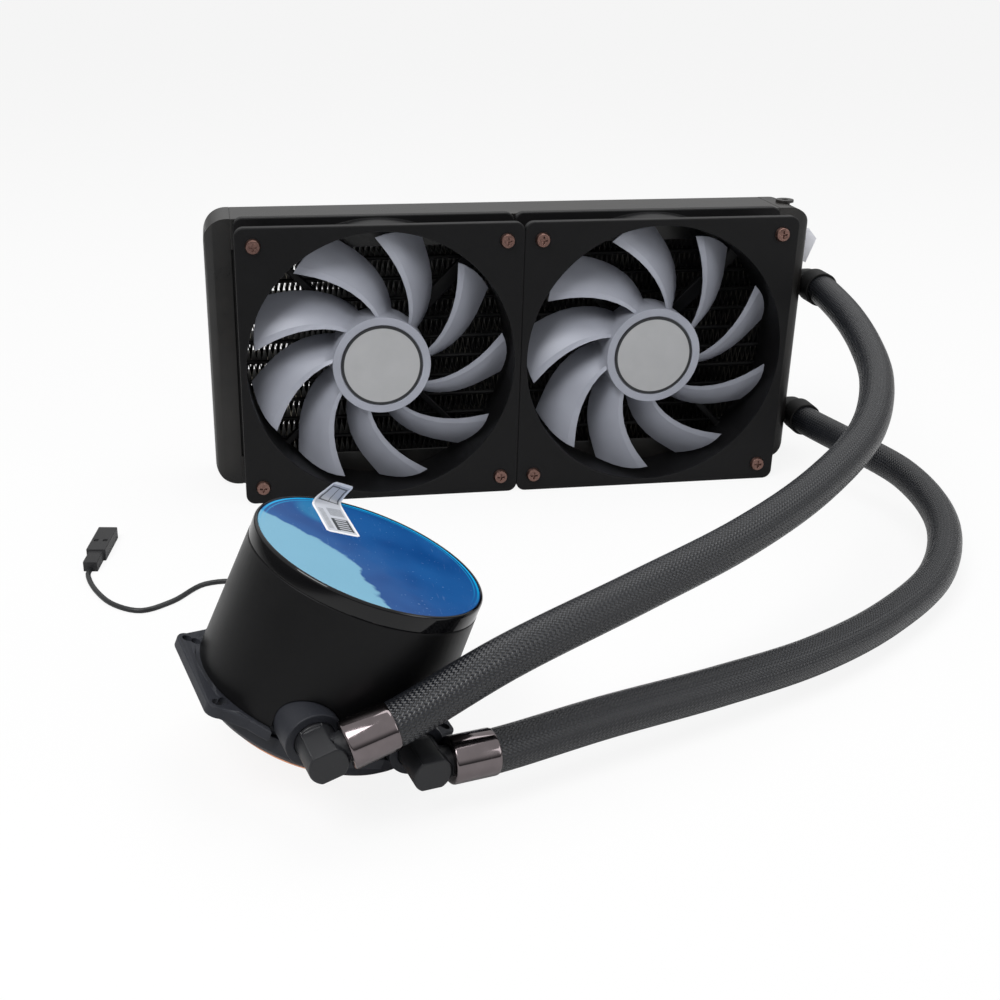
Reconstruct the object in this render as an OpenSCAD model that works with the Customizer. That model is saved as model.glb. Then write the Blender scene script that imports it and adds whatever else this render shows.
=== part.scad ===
/* [Radiator] */
// Length of the finned core beyond the two fans
core_over = 2; // [0:0.5:20]
// Height of the fans above the top of the radiator
fan_over = 1; // [0:0.5:2]
// Overall depth of the radiator
rad_t = 27; // [24:1:36]
// Depth of the tubes and fins
core_t = 18; // [14:1:18]
// Number of flat tubes
tube_n = 12; // [8:1:14]
// Thickness of one flat tube
tube_h = 1.8; // [1.4:0.1:2.4]
// Wall of one flat tube
tube_wall = 0.3; // [0.2:0.05:0.5]
// Length of one fold of the fin strip
fin_pitch = 6; // [5:0.5:12]
// Thickness of the fin strip
fin_sheet = 0.5; // [0.3:0.1:0.8]
// Thickness of the header plates
header_t = 1.5; // [1:0.1:3]
// Sheet thickness of the two side rails
rail_sheet = 1.2; // [1:0.1:2]
// Width of the rail flanges that take the screws
rail_flange = 13; // [12:0.5:16]
// Core radius of the open case threads in the rear flanges
case_hole_r = 1.25; // [1.2:0.05:1.4]
// Length of the left end tank
tank_left_w = 11.5; // [11:0.5:20]
// Length of the right end tank
tank_right_w = 15; // [12:0.5:24]
// Wall of the end tanks
tank_wall = 1.5; // [1:0.1:2.5]
// Corner radius of the tanks seen from the front
tank_corner = 10; // [4:0.5:11]
// Corner radius of the tanks seen from above
tank_edge = 4; // [2:0.5:6]
// Drop of the upper hose fitting below the top of the radiator
fitting_drop = 37; // [35:0.5:41]
// Height of the lower hose fitting
fitting_lower_z = 19.5; // [18:0.5:30]
// Drop of the middle of the bare label below the top of the radiator
label_drop = 20.5; // [18:0.5:22]

/* [Fans] */
// Side of the square fan frames
fan_size = 120; // [119:0.5:122]
// Depth of the fan frames
fan_t = 25; // [24:0.5:30]
// Distance of the fan screws from the sides of the frame
screw_inset = 7.5; // [7:0.1:8]
// Plastic left between the air duct and the sides of the frame
duct_side = 2.8; // [2:0.1:3.2]
// Wall of the air duct
duct_wall = 1.5; // [1.2:0.1:2.2]
// Thickness of the front and back flanges
flange_t = 4; // [3:0.5:6]
// Corner radius of the frames
frame_corner = 4; // [2:0.5:8]
// Radius of the screw holes in the frames
frame_hole_r = 2.15; // [2:0.05:2.5]
// Number of blades on a rotor
blade_n = 9; // [5:1:11]
// Gap between the blade tips and the air duct
tip_gap = 1.2; // [1:0.1:3]
// Outer radius of the rotor hub
hub_r = 21; // [20:0.5:24]
// Sweep of the leading edge from hub to tip, in degrees
blade_sweep = 37; // [20:1:50]
// Angle that one blade covers, in degrees
blade_chord = 24; // [18:1:30]
// Greatest thickness of a blade
blade_t = 1.8; // [1.2:0.1:2.4]
// Turn of the left rotor at rest, in degrees
left_phase = 12.3; // [0:0.1:40]
// Turn of the right rotor at rest, in degrees
right_phase = 32.6; // [0:0.1:40]
// Radius of the cap disc on the hub
cap_r = 17.4; // [15:0.1:18]
// Number of struts behind the rotor
strut_n = 4; // [3:1:6]

/* [Pump] */
// Height from the cold plate to the top of the bezel
pump_h = 58; // [56:0.5:66]
// Radius of the housing at its foot
body_foot_r = 37; // [36.6:0.1:39]
// Taper of the housing's radius from its foot to the bezel
body_draft = 1.5; // [1:0.1:3]
// Wall of the housing
body_wall = 2; // [1.5:0.1:2.5]
// Height of the bezel ring
bezel_h = 5.2; // [5:0.1:8]
// Width of the rim that is left round the mirror disc
mirror_rim = 1.2; // [1.1:0.1:2]
// Radius of the copper cold plate
plate_r = 28; // [27:0.5:31]
// Thickness of the cold plate
plate_t = 3; // [2:0.5:4]
// Radius of the pump base
base_r = 34.5; // [34:0.5:36]
// Radius of the impeller
impeller_r = 15; // [12:0.5:17]
// Number of impeller vanes
vane_n = 6; // [4:1:8]
// Turn of the pump about its own axis, in degrees
pump_spin = 15.5; // [0:0.5:30]
// Lean of the pump where it lies on the edge of its plate, in degrees
pump_lean = 21.3; // [0:0.1:30]
// Thickness of the mounting bracket
bracket_t = 3.5; // [2.5:0.5:5]
// Distance from the pump axis to the bracket ears along the wings
ear_x = 37; // [36:0.5:44]
// Distance from the pump axis to the bracket ears across the wings
ear_y = 16.5; // [14:0.5:24]
// Radius of the bracket holes
ear_hole_r = 1.6; // [1.5:0.1:1.8]

/* [Hoses] */
// Outer diameter of the sleeved hoses
hose_d = 13; // [12:0.5:13]
// Half the distance between the two ports of the pump
port_half = 16.3; // [15:0.1:18]
// Height of the ports above the cold plate
port_z = 17; // [15:0.5:19]
// Radius of the elbow barrels
barrel_r = 5.75; // [5.5:0.05:6]
// Rise of the upper elbow's outlet above the wing direction, in degrees
upper_rise = 36; // [20:1:50]
// Rise of the lower elbow's outlet above the wing direction, in degrees
lower_rise = 19; // [15:1:40]
// Length of the bright ferrules
ferrule_len = 14; // [12:0.5:18]
// Wall of the bright ferrules
ferrule_wall = 0.4; // [0.3:0.05:0.8]
// Diameter of the control cable
cable_d = 3; // [2.5:0.1:3]

/* [Hidden] */

$fn = 64;
eps = 0.01;
run = 0.03;

// Radiator, derived
rad_h = fan_size - fan_over;
core_w = 2 * fan_size + core_over;
core_x = core_w / 2;
fitting_upper_z = rad_h - fitting_drop;
label_z = rad_h - label_drop;
inner_h = rad_h - 2 * rail_sheet;
tube_pitch = inner_h / (tube_n + 1);
fin_h = tube_pitch - tube_h;
fin_w = core_w - 2 * header_t;
fold_n = floor(fin_w / fin_pitch);
tank_end = core_x + tank_right_w;
thread_r = 1.6;
fitting_r = 4.6;
knee_r = 6;
knee_reach = 8;
knee_x = tank_end + knee_reach;
barb_len = 11;
collar_y = 6.5;
collar_len = 10;
collar_wall = 1.1;
collar_end = 1.2;
hose_bore = 3;
plug_r = 2.5;
label_t = 0.4;

// Fans, derived
fan_x = fan_size / 2;
screw_pitch = fan_size - 2 * screw_inset;
duct_r = fan_size / 2 - duct_side;
blade_r = duct_r - tip_gap;
fan_front = -rad_t / 2 - fan_t;
hub_floor = 4.5;
hub_front = fan_t - 2;
hub_wall = 1.6;
cap_t = 0.8;
shaft_r = 1.5;
shaft_foot = 1.2;
shaft_top = hub_front - 1.5;
sleeve_r = 3.5;
post_r = 4.2;
base_disc_t = 2.2;
board_t = 1.2;
board_r = 17;
magnet_r = hub_r - hub_wall;
magnet_t = 2.8;
magnet_z = 6;
magnet_h = 11;
coil_z = 7;
coil_top = 15;
coil_hub_r = 7;
arm_len = 14;
arm_w = 4;
shoe_t = 1.9;
air_gap = 0.7;
head_r = 3.3;
head_h = 1.7;
screw_end = 2.6;
stations = 9;
chord_n = 6;

// Pump, derived
body_top_r = body_foot_r - body_draft;
mirror_r = body_top_r - mirror_rim;
neck_z = 9.5;
body_z = neck_z + bracket_t;
seam_z = pump_h - bezel_h;
deck_z = seam_z - 1;
base_z = 5;
ring_r = body_foot_r + 1.3;
neck_r = ring_r - 5.3;
lip_half = 7.7;
groove_out = plate_r - 2.4;
groove_in = plate_r - 3.8;
plate_screw_at = plate_r - 6.6;
screw_land = 3.5;
pocket = 2 * floor(plate_screw_at * cos(30) - screw_land);
microfin_pitch = 2;
microfin_t = 0.8;
microfin_h = 2.2;
pocket_h = 2.6;
chamber_r = 19;
chamber_floor = 7;
can_r = 9;
can_wall = 1;
can_drop = 15.8;
can_top = deck_z - can_drop;
rotor_len = can_top - body_z - 8;
coil_len = can_top - body_z - 11;
coil_out = 20;
coil_in = 16.5;
pump_board_r = 26;
pump_board_t = 1.6;
plate_lift = plate_r * sin(pump_lean);
pump_at = [-108, -233, plate_lift];
cup_r = 8.4;
cup_gap = 0.08;
cup_out = body_foot_r + 0.6;
cup_depth = 11.6;
cup_in = cup_out - cup_depth;
drop_at = cup_in - 0.5;
drop_r = 2;
ferrule_start = barrel_r + 0.75;
ferrule_r = hose_d / 2 + 0.05 + ferrule_wall;
outlet_y = body_foot_r + ferrule_r + 0.7;
barrel_end = outlet_y + 5;
nipple_r = 4.6;
hose_start = 12;
seal_y = cup_out - 6.6;
seal_w = 1.6;
seal_depth = 1.2;
grommet_z = 20;
grommet_r = 3.6;
grommet_angle = 98;

// Route points of the upper hose, from the elbow to the radiator
upper_route = [[-53, -264, 44], [-10, -245, 52], [31, -222, 57], [69, -192, 61],
    [101, -158, 66], [124, -117, 71], [136, -80, 75], [142, -47, 79]];
// Route points of the lower hose, from the elbow to the radiator
lower_route = [[-20, -253, 15], [22, -237, 13], [62, -219, 11], [100, -195, 10],
    [134, -165, 11], [156, -126, 14], [161, -84, 17], [151, -46, 19]];
// Route points of the control cable, from the pump to the plug
cable_route = [[-112, -182, 22], [-113, -170, 8], [-115, -158, 1.5], [-119, -135, 1.5],
    [-126, -117, 1.5], [-138, -117, 1.5], [-150, -130, 1.5], [-161, -136, 1.5],
    [-171, -130, 1.5], [-179, -116, 1.5]];
plug_at = [-182, -98, 0];
plug_turn = -9;
plug_w = 7.6;
plug_len = 22;
plug_t = 5;
boot_w = 5.6;
boot_len = 10;
pin_pitch = 2.5;

// Vector and sweep functions
function unit(v) = v / norm(v);
function spin_z(p, a) = [p[0] * cos(a) - p[1] * sin(a), p[0] * sin(a) + p[1] * cos(a), p[2]];
function lean_y(p, a) = [p[0] * cos(a) + p[2] * sin(a), p[1], p[2] * cos(a) - p[0] * sin(a)];
function on_pump(p) = pump_at + lean_y(spin_z(p, pump_spin), pump_lean);
function outlet(side, rise, d) =
    on_pump([side * port_half + d * cos(rise), -outlet_y, port_z + d * sin(rise)]);
function bend(a, b, c, d, t) =
    0.5 * (2 * b + (c - a) * t + (2 * a - 5 * b + 4 * c - d) * t * t
        + (3 * b - a - 3 * c + d) * t * t * t);
function curve(p, n) = [for (i = [0:len(p) - 2]) for (k = [0:n - 1])
    bend(p[max(i - 1, 0)], p[i], p[i + 1], p[min(i + 2, len(p) - 1)], k / n), p[len(p) - 1]];
function along(p, i) = unit(p[min(i + 1, len(p) - 1)] - p[max(i - 1, 0)]);
function side_of(t) = unit(cross(t, [0, 0, 1]));
function ring(c, t, r, n) = let (u = side_of(t), v = cross(u, t))
    [for (k = [0:n - 1]) c + r * cos(360 * k / n) * u + r * sin(360 * k / n) * v];
function grid_faces(rows, n) = [for (i = [0:rows - 2]) for (k = [0:n - 1])
    let (a = i * n + k, b = i * n + (k + 1) % n) each [[a, b, b + n], [a, b + n, a + n]]];
function disc_faces(first, n, flip) = [for (k = [1:n - 2])
    flip ? [first, first + k + 1, first + k] : [first, first + k, first + k + 1]];

module sweep(path, r, n) {
    rows = len(path);
    pts = [for (i = [0:rows - 1]) each ring(path[i], along(path, i), r, n)];
    polyhedron(pts, concat(grid_faces(rows, n), disc_faces(0, n, true),
        disc_faces((rows - 1) * n, n, false)), convexity = 6);
}

// Radiator
module rounded(w, h, r) {
    square([w - 2 * r, h], center = true);
    square([w, h - 2 * r], center = true);
    for (x = [-1, 1])
        for (y = [-1, 1])
            translate([x * (w / 2 - r), y * (h / 2 - r)]) circle(r);
}

module tank_block(w, cut) {
    h = rad_h - 2 * cut;
    t = rad_t - 2 * cut;
    reach = w - cut;
    corner = tank_corner - cut;
    edge = tank_edge - cut;
    intersection() {
        translate([0, t / 2, 0])
            rotate([90, 0, 0])
                linear_extrude(t)
                    intersection() {
                        rounded(2 * reach, h, corner);
                        translate([-eps * (cut > 0 ? 1 : 0), -h / 2]) square([reach + 1, h]);
                    }
        translate([0, 0, -h / 2])
            linear_extrude(h)
                intersection() {
                    rounded(2 * reach, t, edge);
                    translate([-eps * (cut > 0 ? 1 : 0), -t / 2]) square([reach + 1, t]);
                }
    }
}

module at_fittings() {
    for (z = [fitting_upper_z, fitting_lower_z])
        translate([tank_end, 0, z])
            rotate([0, 90, 0])
                children();
}

module at_barbs() {
    for (z = [fitting_upper_z, fitting_lower_z])
        translate([knee_x, 0, z])
            rotate([90, 0, 0])
                children();
}

module tank_left() {
    color("#17181a")
        translate([-core_x, 0, rad_h / 2])
            mirror([1, 0, 0])
                difference() {
                    tank_block(tank_left_w, 0);
                    tank_block(tank_left_w, tank_wall);
                }
}

module tank_right() {
    color("#17181a")
        difference() {
            translate([core_x, 0, rad_h / 2])
                difference() {
                    tank_block(tank_right_w, 0);
                    difference() {
                        tank_block(tank_right_w, tank_wall);
                        translate([-1, -rad_t / 2, -tank_wall / 2])
                            cube([tank_right_w + 2, rad_t, tank_wall]);
                    }
                }
            at_fittings() cylinder(h = 3 * tank_wall, r = fitting_r, center = true);
            translate([tank_end - tank_right_w / 2, 0, rad_h - tank_wall - 1])
                cylinder(h = tank_wall + 2, r = plug_r);
        }
}

module header_plates() {
    color("#8d7a4a")
        for (s = [-1, 1])
            difference() {
                translate([s * (core_x - header_t / 2), 0, rad_h / 2])
                    cube([header_t, rad_t - 2 * rail_sheet, inner_h], center = true);
                at_tubes()
                    translate([s * (core_x - header_t / 2), 0, 0])
                        rotate([90, 0, 90])
                            linear_extrude(header_t + 1, center = true)
                                rounded(core_t, tube_h, tube_h / 2 - eps);
            }
}

module at_tubes() {
    for (i = [1:tube_n])
        translate([0, 0, rail_sheet + i * tube_pitch])
            children();
}

module core_tubes() {
    color("#2a2a2c")
        at_tubes()
            rotate([90, 0, 90])
                linear_extrude(core_w, center = true)
                    difference() {
                        rounded(core_t, tube_h, tube_h / 2 - eps);
                        rounded(core_t - 2 * tube_wall, tube_h - 2 * tube_wall,
                            tube_h / 2 - tube_wall - eps);
                    }
}

module core_fins() {
    half = fin_w / fold_n / 2;
    rise = fin_h - fin_sheet;
    low = [for (i = [0:2 * fold_n]) [i * half - fin_w / 2, (i % 2) * rise]];
    high = [for (i = [2 * fold_n:-1:0]) [i * half - fin_w / 2, (i % 2) * rise + fin_sheet]];
    color("#3b3b3d")
        for (i = [0:tube_n])
            translate([0, 0, rail_sheet + i * tube_pitch + (i == 0 ? 0 : tube_h / 2)])
                rotate([90, 0, 0])
                    linear_extrude(core_t, center = true)
                        fin_strip(i, low, high, rise);
}

module fin_strip(i, low, high, rise) {
    // The strips beside the rails are taller by half a tube
    extra = (i == 0 || i == tube_n) ? tube_h / 2 : 0;
    polygon([for (p = concat(low, high))
        [p[0], p[1] > rise / 2 + fin_sheet / 2 ? p[1] + extra : p[1]]]);
}

module rail(hole_z) {
    color("#1d1d1f")
        difference() {
            rotate([90, 0, 90])
                linear_extrude(core_w, center = true)
                    difference() {
                        translate([-rad_t / 2, 0]) square([rad_t, rail_flange]);
                        translate([-rad_t / 2 + rail_sheet, rail_sheet])
                            square([rad_t - 2 * rail_sheet, rail_flange]);
                    }
            for (x = [-fan_x, fan_x])
                for (s = [-1, 1])
                    translate([x + s * screw_pitch / 2, 0, hole_z])
                        rotate([90, 0, 0]) {
                            cylinder(h = rad_t, r = thread_r);
                            translate([0, 0, -rad_t]) cylinder(h = rad_t, r = case_hole_r);
                        }
        }
}

module rail_bottom() rail((fan_size - screw_pitch) / 2);

module rail_top() {
    translate([0, 0, rad_h])
        mirror([0, 0, 1])
            rail(rad_h - (fan_size + screw_pitch) / 2);
}

module tank_fittings() {
    color("#1b1b1d")
        difference() {
            union() {
                at_fittings() {
                    translate([0, 0, -tank_wall]) cylinder(h = tank_wall + 1, r = fitting_r);
                    cylinder(h = knee_reach, r = knee_r);
                }
                at_barbs() {
                    sphere(r = knee_r);
                    cylinder(h = collar_y, r = knee_r);
                    cylinder(h = barb_len, r = fitting_r);
                }
            }
            at_fittings()
                translate([0, 0, -tank_wall - 1])
                    cylinder(h = tank_wall + 1 + knee_reach, r = hose_bore);
            at_barbs() cylinder(h = barb_len + 1, r = hose_bore);
        }
}

module hose_collars() {
    color("#151516")
        at_barbs()
            translate([0, 0, collar_y])
                difference() {
                    cylinder(h = collar_len, r = hose_d / 2 + collar_wall);
                    translate([0, 0, -1]) cylinder(h = collar_len, r = fitting_r);
                    translate([0, 0, collar_end])
                        cylinder(h = collar_len, r = hose_d / 2 + 0.05);
                }
}

module fill_plug() {
    color("#2c2c2e")
        translate([tank_end - tank_right_w / 2, 0, rad_h - tank_wall])
            difference() {
                union() {
                    cylinder(h = tank_wall, r = plug_r);
                    translate([0, 0, tank_wall]) cylinder(h = 1.2, r = 4);
                }
                translate([0, 0, tank_wall]) cylinder(h = 2, r = 1.5, $fn = 6);
            }
}

module tank_label() {
    color("#e6e6ea")
        translate([tank_end, 0, label_z])
            union() {
                translate([0, 0, -7]) cube([label_t, 9, 14]);
                translate([0, label_t, 0])
                    rotate([90, 0, 0])
                        linear_extrude(label_t)
                            polygon([[0, -4.5], [6, -7.5], [10, 3.5], [5.5, 8.5], [1.5, 6.5], [0, 4]]);
            }
}

// Fans
module at_fan(s) {
    translate([s * fan_x, -rad_t / 2, fan_size / 2])
        rotate([90, 0, 0])
            children();
}

module at_corners() {
    for (x = [-1, 1])
        for (y = [-1, 1])
            translate([x * screw_pitch / 2, y * screw_pitch / 2, 0])
                children();
}

module fan_frame() {
    color("#1a1b1d")
        difference() {
            union() {
                for (z = [0, fan_t - flange_t])
                    translate([0, 0, z])
                        linear_extrude(flange_t)
                            difference() {
                                rounded(fan_size, fan_size, frame_corner);
                                circle(duct_r, $fn = 128);
                            }
                linear_extrude(fan_t)
                    intersection() {
                        difference() {
                            circle(duct_r + duct_wall, $fn = 128);
                            circle(duct_r, $fn = 128);
                        }
                        square(fan_size, center = true);
                    }
                cylinder(h = base_disc_t, r = hub_r - 0.5);
                cylinder(h = coil_top + 0.5, r = post_r);
                for (i = [0:strut_n - 1])
                    rotate(45 + 360 * i / strut_n)
                        translate([hub_r - 2, i == 0 ? -3 : -1.5, 0])
                            cube([duct_r - hub_r + 2.5, i == 0 ? 6 : 3, base_disc_t + 1]);
            }
            translate([0, 0, 0.8]) cylinder(h = fan_t, r = sleeve_r);
            at_corners() translate([0, 0, -1]) cylinder(h = fan_t + 2, r = frame_hole_r);
            rotate(45)
                translate([hub_r - 6, -1.2, -1])
                    cube([duct_r - hub_r + 5, 2.4, 2.2]);
        }
}

module fan_stator() {
    color("#8a4b2a")
        translate([0, 0, coil_z])
            linear_extrude(coil_top - coil_z)
                difference() {
                    union() {
                        circle(coil_hub_r);
                        for (a = [0:90:270])
                            rotate(a) translate([0, -arm_w / 2]) square([arm_len, arm_w]);
                        intersection() {
                            difference() {
                                circle(magnet_r - magnet_t - air_gap);
                                circle(magnet_r - magnet_t - air_gap - shoe_t);
                            }
                            for (a = [0, 90])
                                rotate(a) square([2 * hub_r, arm_len], center = true);
                        }
                    }
                    circle(post_r);
                }
}

module fan_board() {
    color("#1f5a35")
        translate([0, 0, base_disc_t])
            difference() {
                cylinder(h = board_t, r = board_r);
                translate([0, 0, -1]) cylinder(h = board_t + 2, r = post_r);
            }
}

module fan_bearing() {
    color("#b08d57")
        translate([0, 0, 2.4])
            difference() {
                cylinder(h = coil_top - 2.4, r = sleeve_r);
                translate([0, 0, -1]) cylinder(h = coil_top, r = shaft_r + run);
            }
}

module fan_shaft() {
    color("#c8c8cc")
        translate([0, 0, shaft_foot]) cylinder(h = shaft_top - shaft_foot, r = shaft_r);
}

module fan_clip() {
    color("#e8e4da")
        translate([0, 0, 1.6])
            difference() {
                cylinder(h = 0.5, r = 2.7);
                translate([0, 0, -1]) cylinder(h = 3, r = shaft_r);
            }
}

module fan_magnet() {
    color("#3a3a3e")
        translate([0, 0, magnet_z])
            difference() {
                cylinder(h = magnet_h, r = magnet_r);
                translate([0, 0, -1]) cylinder(h = magnet_h + 2, r = magnet_r - magnet_t);
            }
}

module fan_cap() {
    color("#d9dadb")
        translate([0, 0, hub_front - cap_t]) cylinder(h = cap_t, r = cap_r);
}

// A blade is lofted from stations along its span. Each station is a closed
// loop of points: the back face from the leading edge, then the front face.
function span_at(i) = i / (stations - 1);
function lead_angle(t) = -blade_sweep * pow(1 - t, 1.25);
function chord_angle(t) = blade_chord + 2.5 * sin(180 * t) - 2 * t;
function radius_at(t, u) = (hub_r - 0.8) + (blade_r - hub_r + 0.8) * t
    - 2.2 * pow(t, 6) * pow(1 - u, 3);
function lead_z(t) = 20.5 - 1.5 * t;
function trail_z(t) = 4.8 + 1.6 * t;
function camber(t, u) = (2.4 - 0.8 * t) * sin(180 * u);
function half_t(t, u) = blade_t / 2 * (1 - 0.35 * t) * (0.3 + 0.7 * sin(180 * pow(u, 0.7)));
function blade_point(t, u, face) = let (
    a = lead_angle(t) - chord_angle(t) * u,
    r = radius_at(t, u),
    z = lead_z(t) + (trail_z(t) - lead_z(t)) * u + camber(t, u) + face * half_t(t, u))
    [r * cos(a), r * sin(a), z];
function blade_loop(t) = concat(
    [for (j = [0:chord_n]) blade_point(t, j / chord_n, -1)],
    [for (j = [chord_n:-1:0]) blade_point(t, j / chord_n, 1)]);

module blade() {
    n = 2 * (chord_n + 1);
    pts = [for (i = [0:stations - 1]) each blade_loop(span_at(i))];
    polyhedron(pts, concat(grid_faces(stations, n), strip_cap(0, n, true),
        strip_cap((stations - 1) * n, n, false)), convexity = 4);
}

// The end of a blade is closed by pairs of triangles between its two faces
function strip_cap(first, n, flip) = [for (j = [0:n / 2 - 2])
    let (a = first + j, b = first + j + 1, c = first + n - 2 - j, d = first + n - 1 - j)
    each (flip ? [[a, c, b], [a, d, c]] : [[a, b, c], [a, c, d]])];

module fan_rotor() {
    cup_top = hub_front - 2;
    boss_z = coil_top + 1.5;
    color("#a9abb6")
        difference() {
            union() {
                difference() {
                    translate([0, 0, hub_floor]) cylinder(h = hub_front - hub_floor, r = hub_r);
                    translate([0, 0, hub_floor - 1])
                        cylinder(h = cup_top - hub_floor + 1, r = hub_r - hub_wall);
                }
                translate([0, 0, boss_z]) cylinder(h = cup_top - boss_z + 0.2, r = 3.4);
                for (i = [0:blade_n - 1])
                    rotate(360 * i / blade_n) blade();
            }
            translate([0, 0, hub_front - cap_t]) cylinder(h = 2, r = cap_r + 0.3);
            translate([0, 0, boss_z - 1]) cylinder(h = shaft_top - boss_z + 1, r = shaft_r);
        }
}

module fan_left_frame() at_fan(-1) fan_frame();
module fan_left_stator() at_fan(-1) fan_stator();
module fan_left_board() at_fan(-1) fan_board();
module fan_left_bearing() at_fan(-1) fan_bearing();
module fan_left_rotor() at_fan(-1) rotate(left_phase) fan_rotor();
module fan_left_magnet() at_fan(-1) fan_magnet();
module fan_left_shaft() at_fan(-1) fan_shaft();
module fan_left_clip() at_fan(-1) fan_clip();
module fan_left_cap() at_fan(-1) fan_cap();
module fan_right_frame() at_fan(1) fan_frame();
module fan_right_stator() at_fan(1) fan_stator();
module fan_right_board() at_fan(1) fan_board();
module fan_right_bearing() at_fan(1) fan_bearing();
module fan_right_rotor() at_fan(1) rotate(right_phase) fan_rotor();
module fan_right_magnet() at_fan(1) fan_magnet();
module fan_right_shaft() at_fan(1) fan_shaft();
module fan_right_clip() at_fan(1) fan_clip();
module fan_right_cap() at_fan(1) fan_cap();

module fan_screws() {
    color("#6b5148")
        for (s = [-1, 1])
            at_fan(s)
                at_corners()
                    difference() {
                        union() {
                            translate([0, 0, -screw_end])
                                cylinder(h = fan_t + screw_end, r = thread_r);
                            translate([0, 0, fan_t]) cylinder(h = head_h, r1 = head_r, r2 = head_r - 0.6);
                        }
                        for (a = [0, 90])
                            rotate(a)
                                translate([-1.6, -0.35, fan_t + head_h - 1]) cube([3.2, 0.7, 2]);
                    }
}

// Pump
module at_pump() {
    translate(pump_at)
        rotate([0, pump_lean, 0])
            rotate([0, 0, pump_spin])
                children();
}

module at_port(side) {
    translate([side * port_half, 0, port_z])
        rotate([90, 0, 0])
            children();
}

module pump_base() {
    color("#161719")
        at_pump()
            difference() {
                union() {
                    translate([0, 0, plate_t])
                        cylinder(h = base_z - plate_t, r1 = base_r - 2, r2 = base_r);
                    translate([0, 0, base_z]) cylinder(h = neck_z - base_z, r = base_r);
                    translate([0, 0, neck_z]) cylinder(h = bracket_t, r = neck_r);
                    intersection() {
                        translate([0, 0, neck_z]) cylinder(h = bracket_t, r = ring_r);
                        translate([-lip_half, -ring_r, neck_z]) cube([2 * lip_half, 10, bracket_t]);
                    }
                    for (s = [-1, 1])
                        at_port(s)
                            translate([0, 0, cup_in - 4]) cylinder(h = cup_out - cup_in + 4, r = cup_r);
                }
                for (s = [-1, 1]) {
                    at_port(s) {
                        translate([0, 0, cup_in]) cylinder(h = 30, r = barrel_r + cup_gap);
                        translate([0, 0, cup_in - 2]) cylinder(h = 3, r = hose_bore);
                    }
                    translate([s * port_half, -drop_at, chamber_floor + 1])
                        cylinder(h = port_z - chamber_floor, r = drop_r);
                    translate([s * port_half, -drop_at, chamber_floor + 3])
                        rotate([-90, 0, s * 30])
                            cylinder(h = 16, r = drop_r);
                }
                translate([0, 0, chamber_floor]) cylinder(h = 20, r = chamber_r);
                translate([-pocket / 2, -pocket / 2, plate_t - 1]) cube([pocket, pocket, pocket_h + 1]);
                for (s = [-1, 1])
                    translate([s * 6, 0, chamber_floor]) cube([2.5, 20, 6], center = true);
                translate([0, 0, plate_t - 1]) gasket_ring(2);
                at_plate_screws() translate([0, 0, plate_t - 1]) cylinder(h = 2.6, r = 1);
            }
}

module gasket_ring(h) {
    difference() {
        cylinder(h = h, r = groove_out);
        translate([0, 0, -1]) cylinder(h = h + 2, r = groove_in);
    }
}

module plate_gasket() {
    color("#101010") at_pump() translate([0, 0, plate_t]) gasket_ring(1);
}

module at_plate_screws() {
    for (a = [0:60:300])
        rotate(a + 30) translate([plate_screw_at, 0, 0]) children();
}

module cold_plate() {
    fin_side = floor((pocket / 2 - 2.5) / microfin_pitch);
    color("#b56a3e")
        at_pump()
            difference() {
                union() {
                    cylinder(h = plate_t, r = plate_r);
                    for (i = [-fin_side:fin_side])
                        translate([i * microfin_pitch - microfin_t / 2, 2 - pocket / 2, plate_t - eps])
                            cube([microfin_t, pocket - 4, microfin_h]);
                }
                at_plate_screws() {
                    translate([0, 0, -1]) cylinder(h = plate_t + 2, r = 1.1);
                    translate([0, 0, -eps]) cylinder(h = 1.4, r1 = 2.1, r2 = 1.1);
                }
            }
}

module plate_screws() {
    color("#9a9a9e")
        at_pump()
            at_plate_screws()
                translate([0, 0, 0.2])
                    union() {
                        cylinder(h = 1, r1 = 1.9, r2 = 1);
                        cylinder(h = plate_t + 1.3, r = 1);
                    }
}

module wing_outline() {
    circle(ring_r);
    for (s = [-1, 1]) {
        polygon([[0, -neck_r - 2], [s * (ear_x - 8), -ear_y - 8], [s * ear_x, -ear_y - 3.6],
            [s * (ear_x + 3.6), -ear_y], [s * (ear_x + 3.6), ear_y], [s * ear_x, ear_y + 3.6],
            [s * (ear_x - 8), ear_y + 8], [0, neck_r + 2]]);
        for (y = [-ear_y, ear_y])
            translate([s * ear_x, y]) circle(3.6);
    }
}

module at_ears() {
    for (x = [-1, 1])
        for (y = [-1, 1])
            translate([x * ear_x, y * ear_y, 0])
                rotate(atan2(y * ear_y, x * ear_x))
                    children();
}

module mounting_bracket() {
    color("#222428")
        at_pump()
            difference() {
                translate([0, 0, neck_z]) linear_extrude(bracket_t) wing_outline();
                translate([0, 0, neck_z - 1]) cylinder(h = bracket_t + 2, r = neck_r);
                at_ears() {
                    translate([0.6, 0, neck_z - 1]) cylinder(h = bracket_t + 2, r = ear_hole_r);
                    translate([-2, 0, neck_z - 1]) cylinder(h = bracket_t + 2, r = ear_hole_r);
                }
                for (s = [-1, 1])
                    at_port(s) translate([0, 0, 10]) cylinder(h = 40, r = cup_r + 0.1);
                translate([-port_half - cup_r - 0.1, -50, neck_z - 1])
                    cube([2 * (port_half + cup_r + 0.1), 29, bracket_t + 2]);
            }
}

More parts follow.
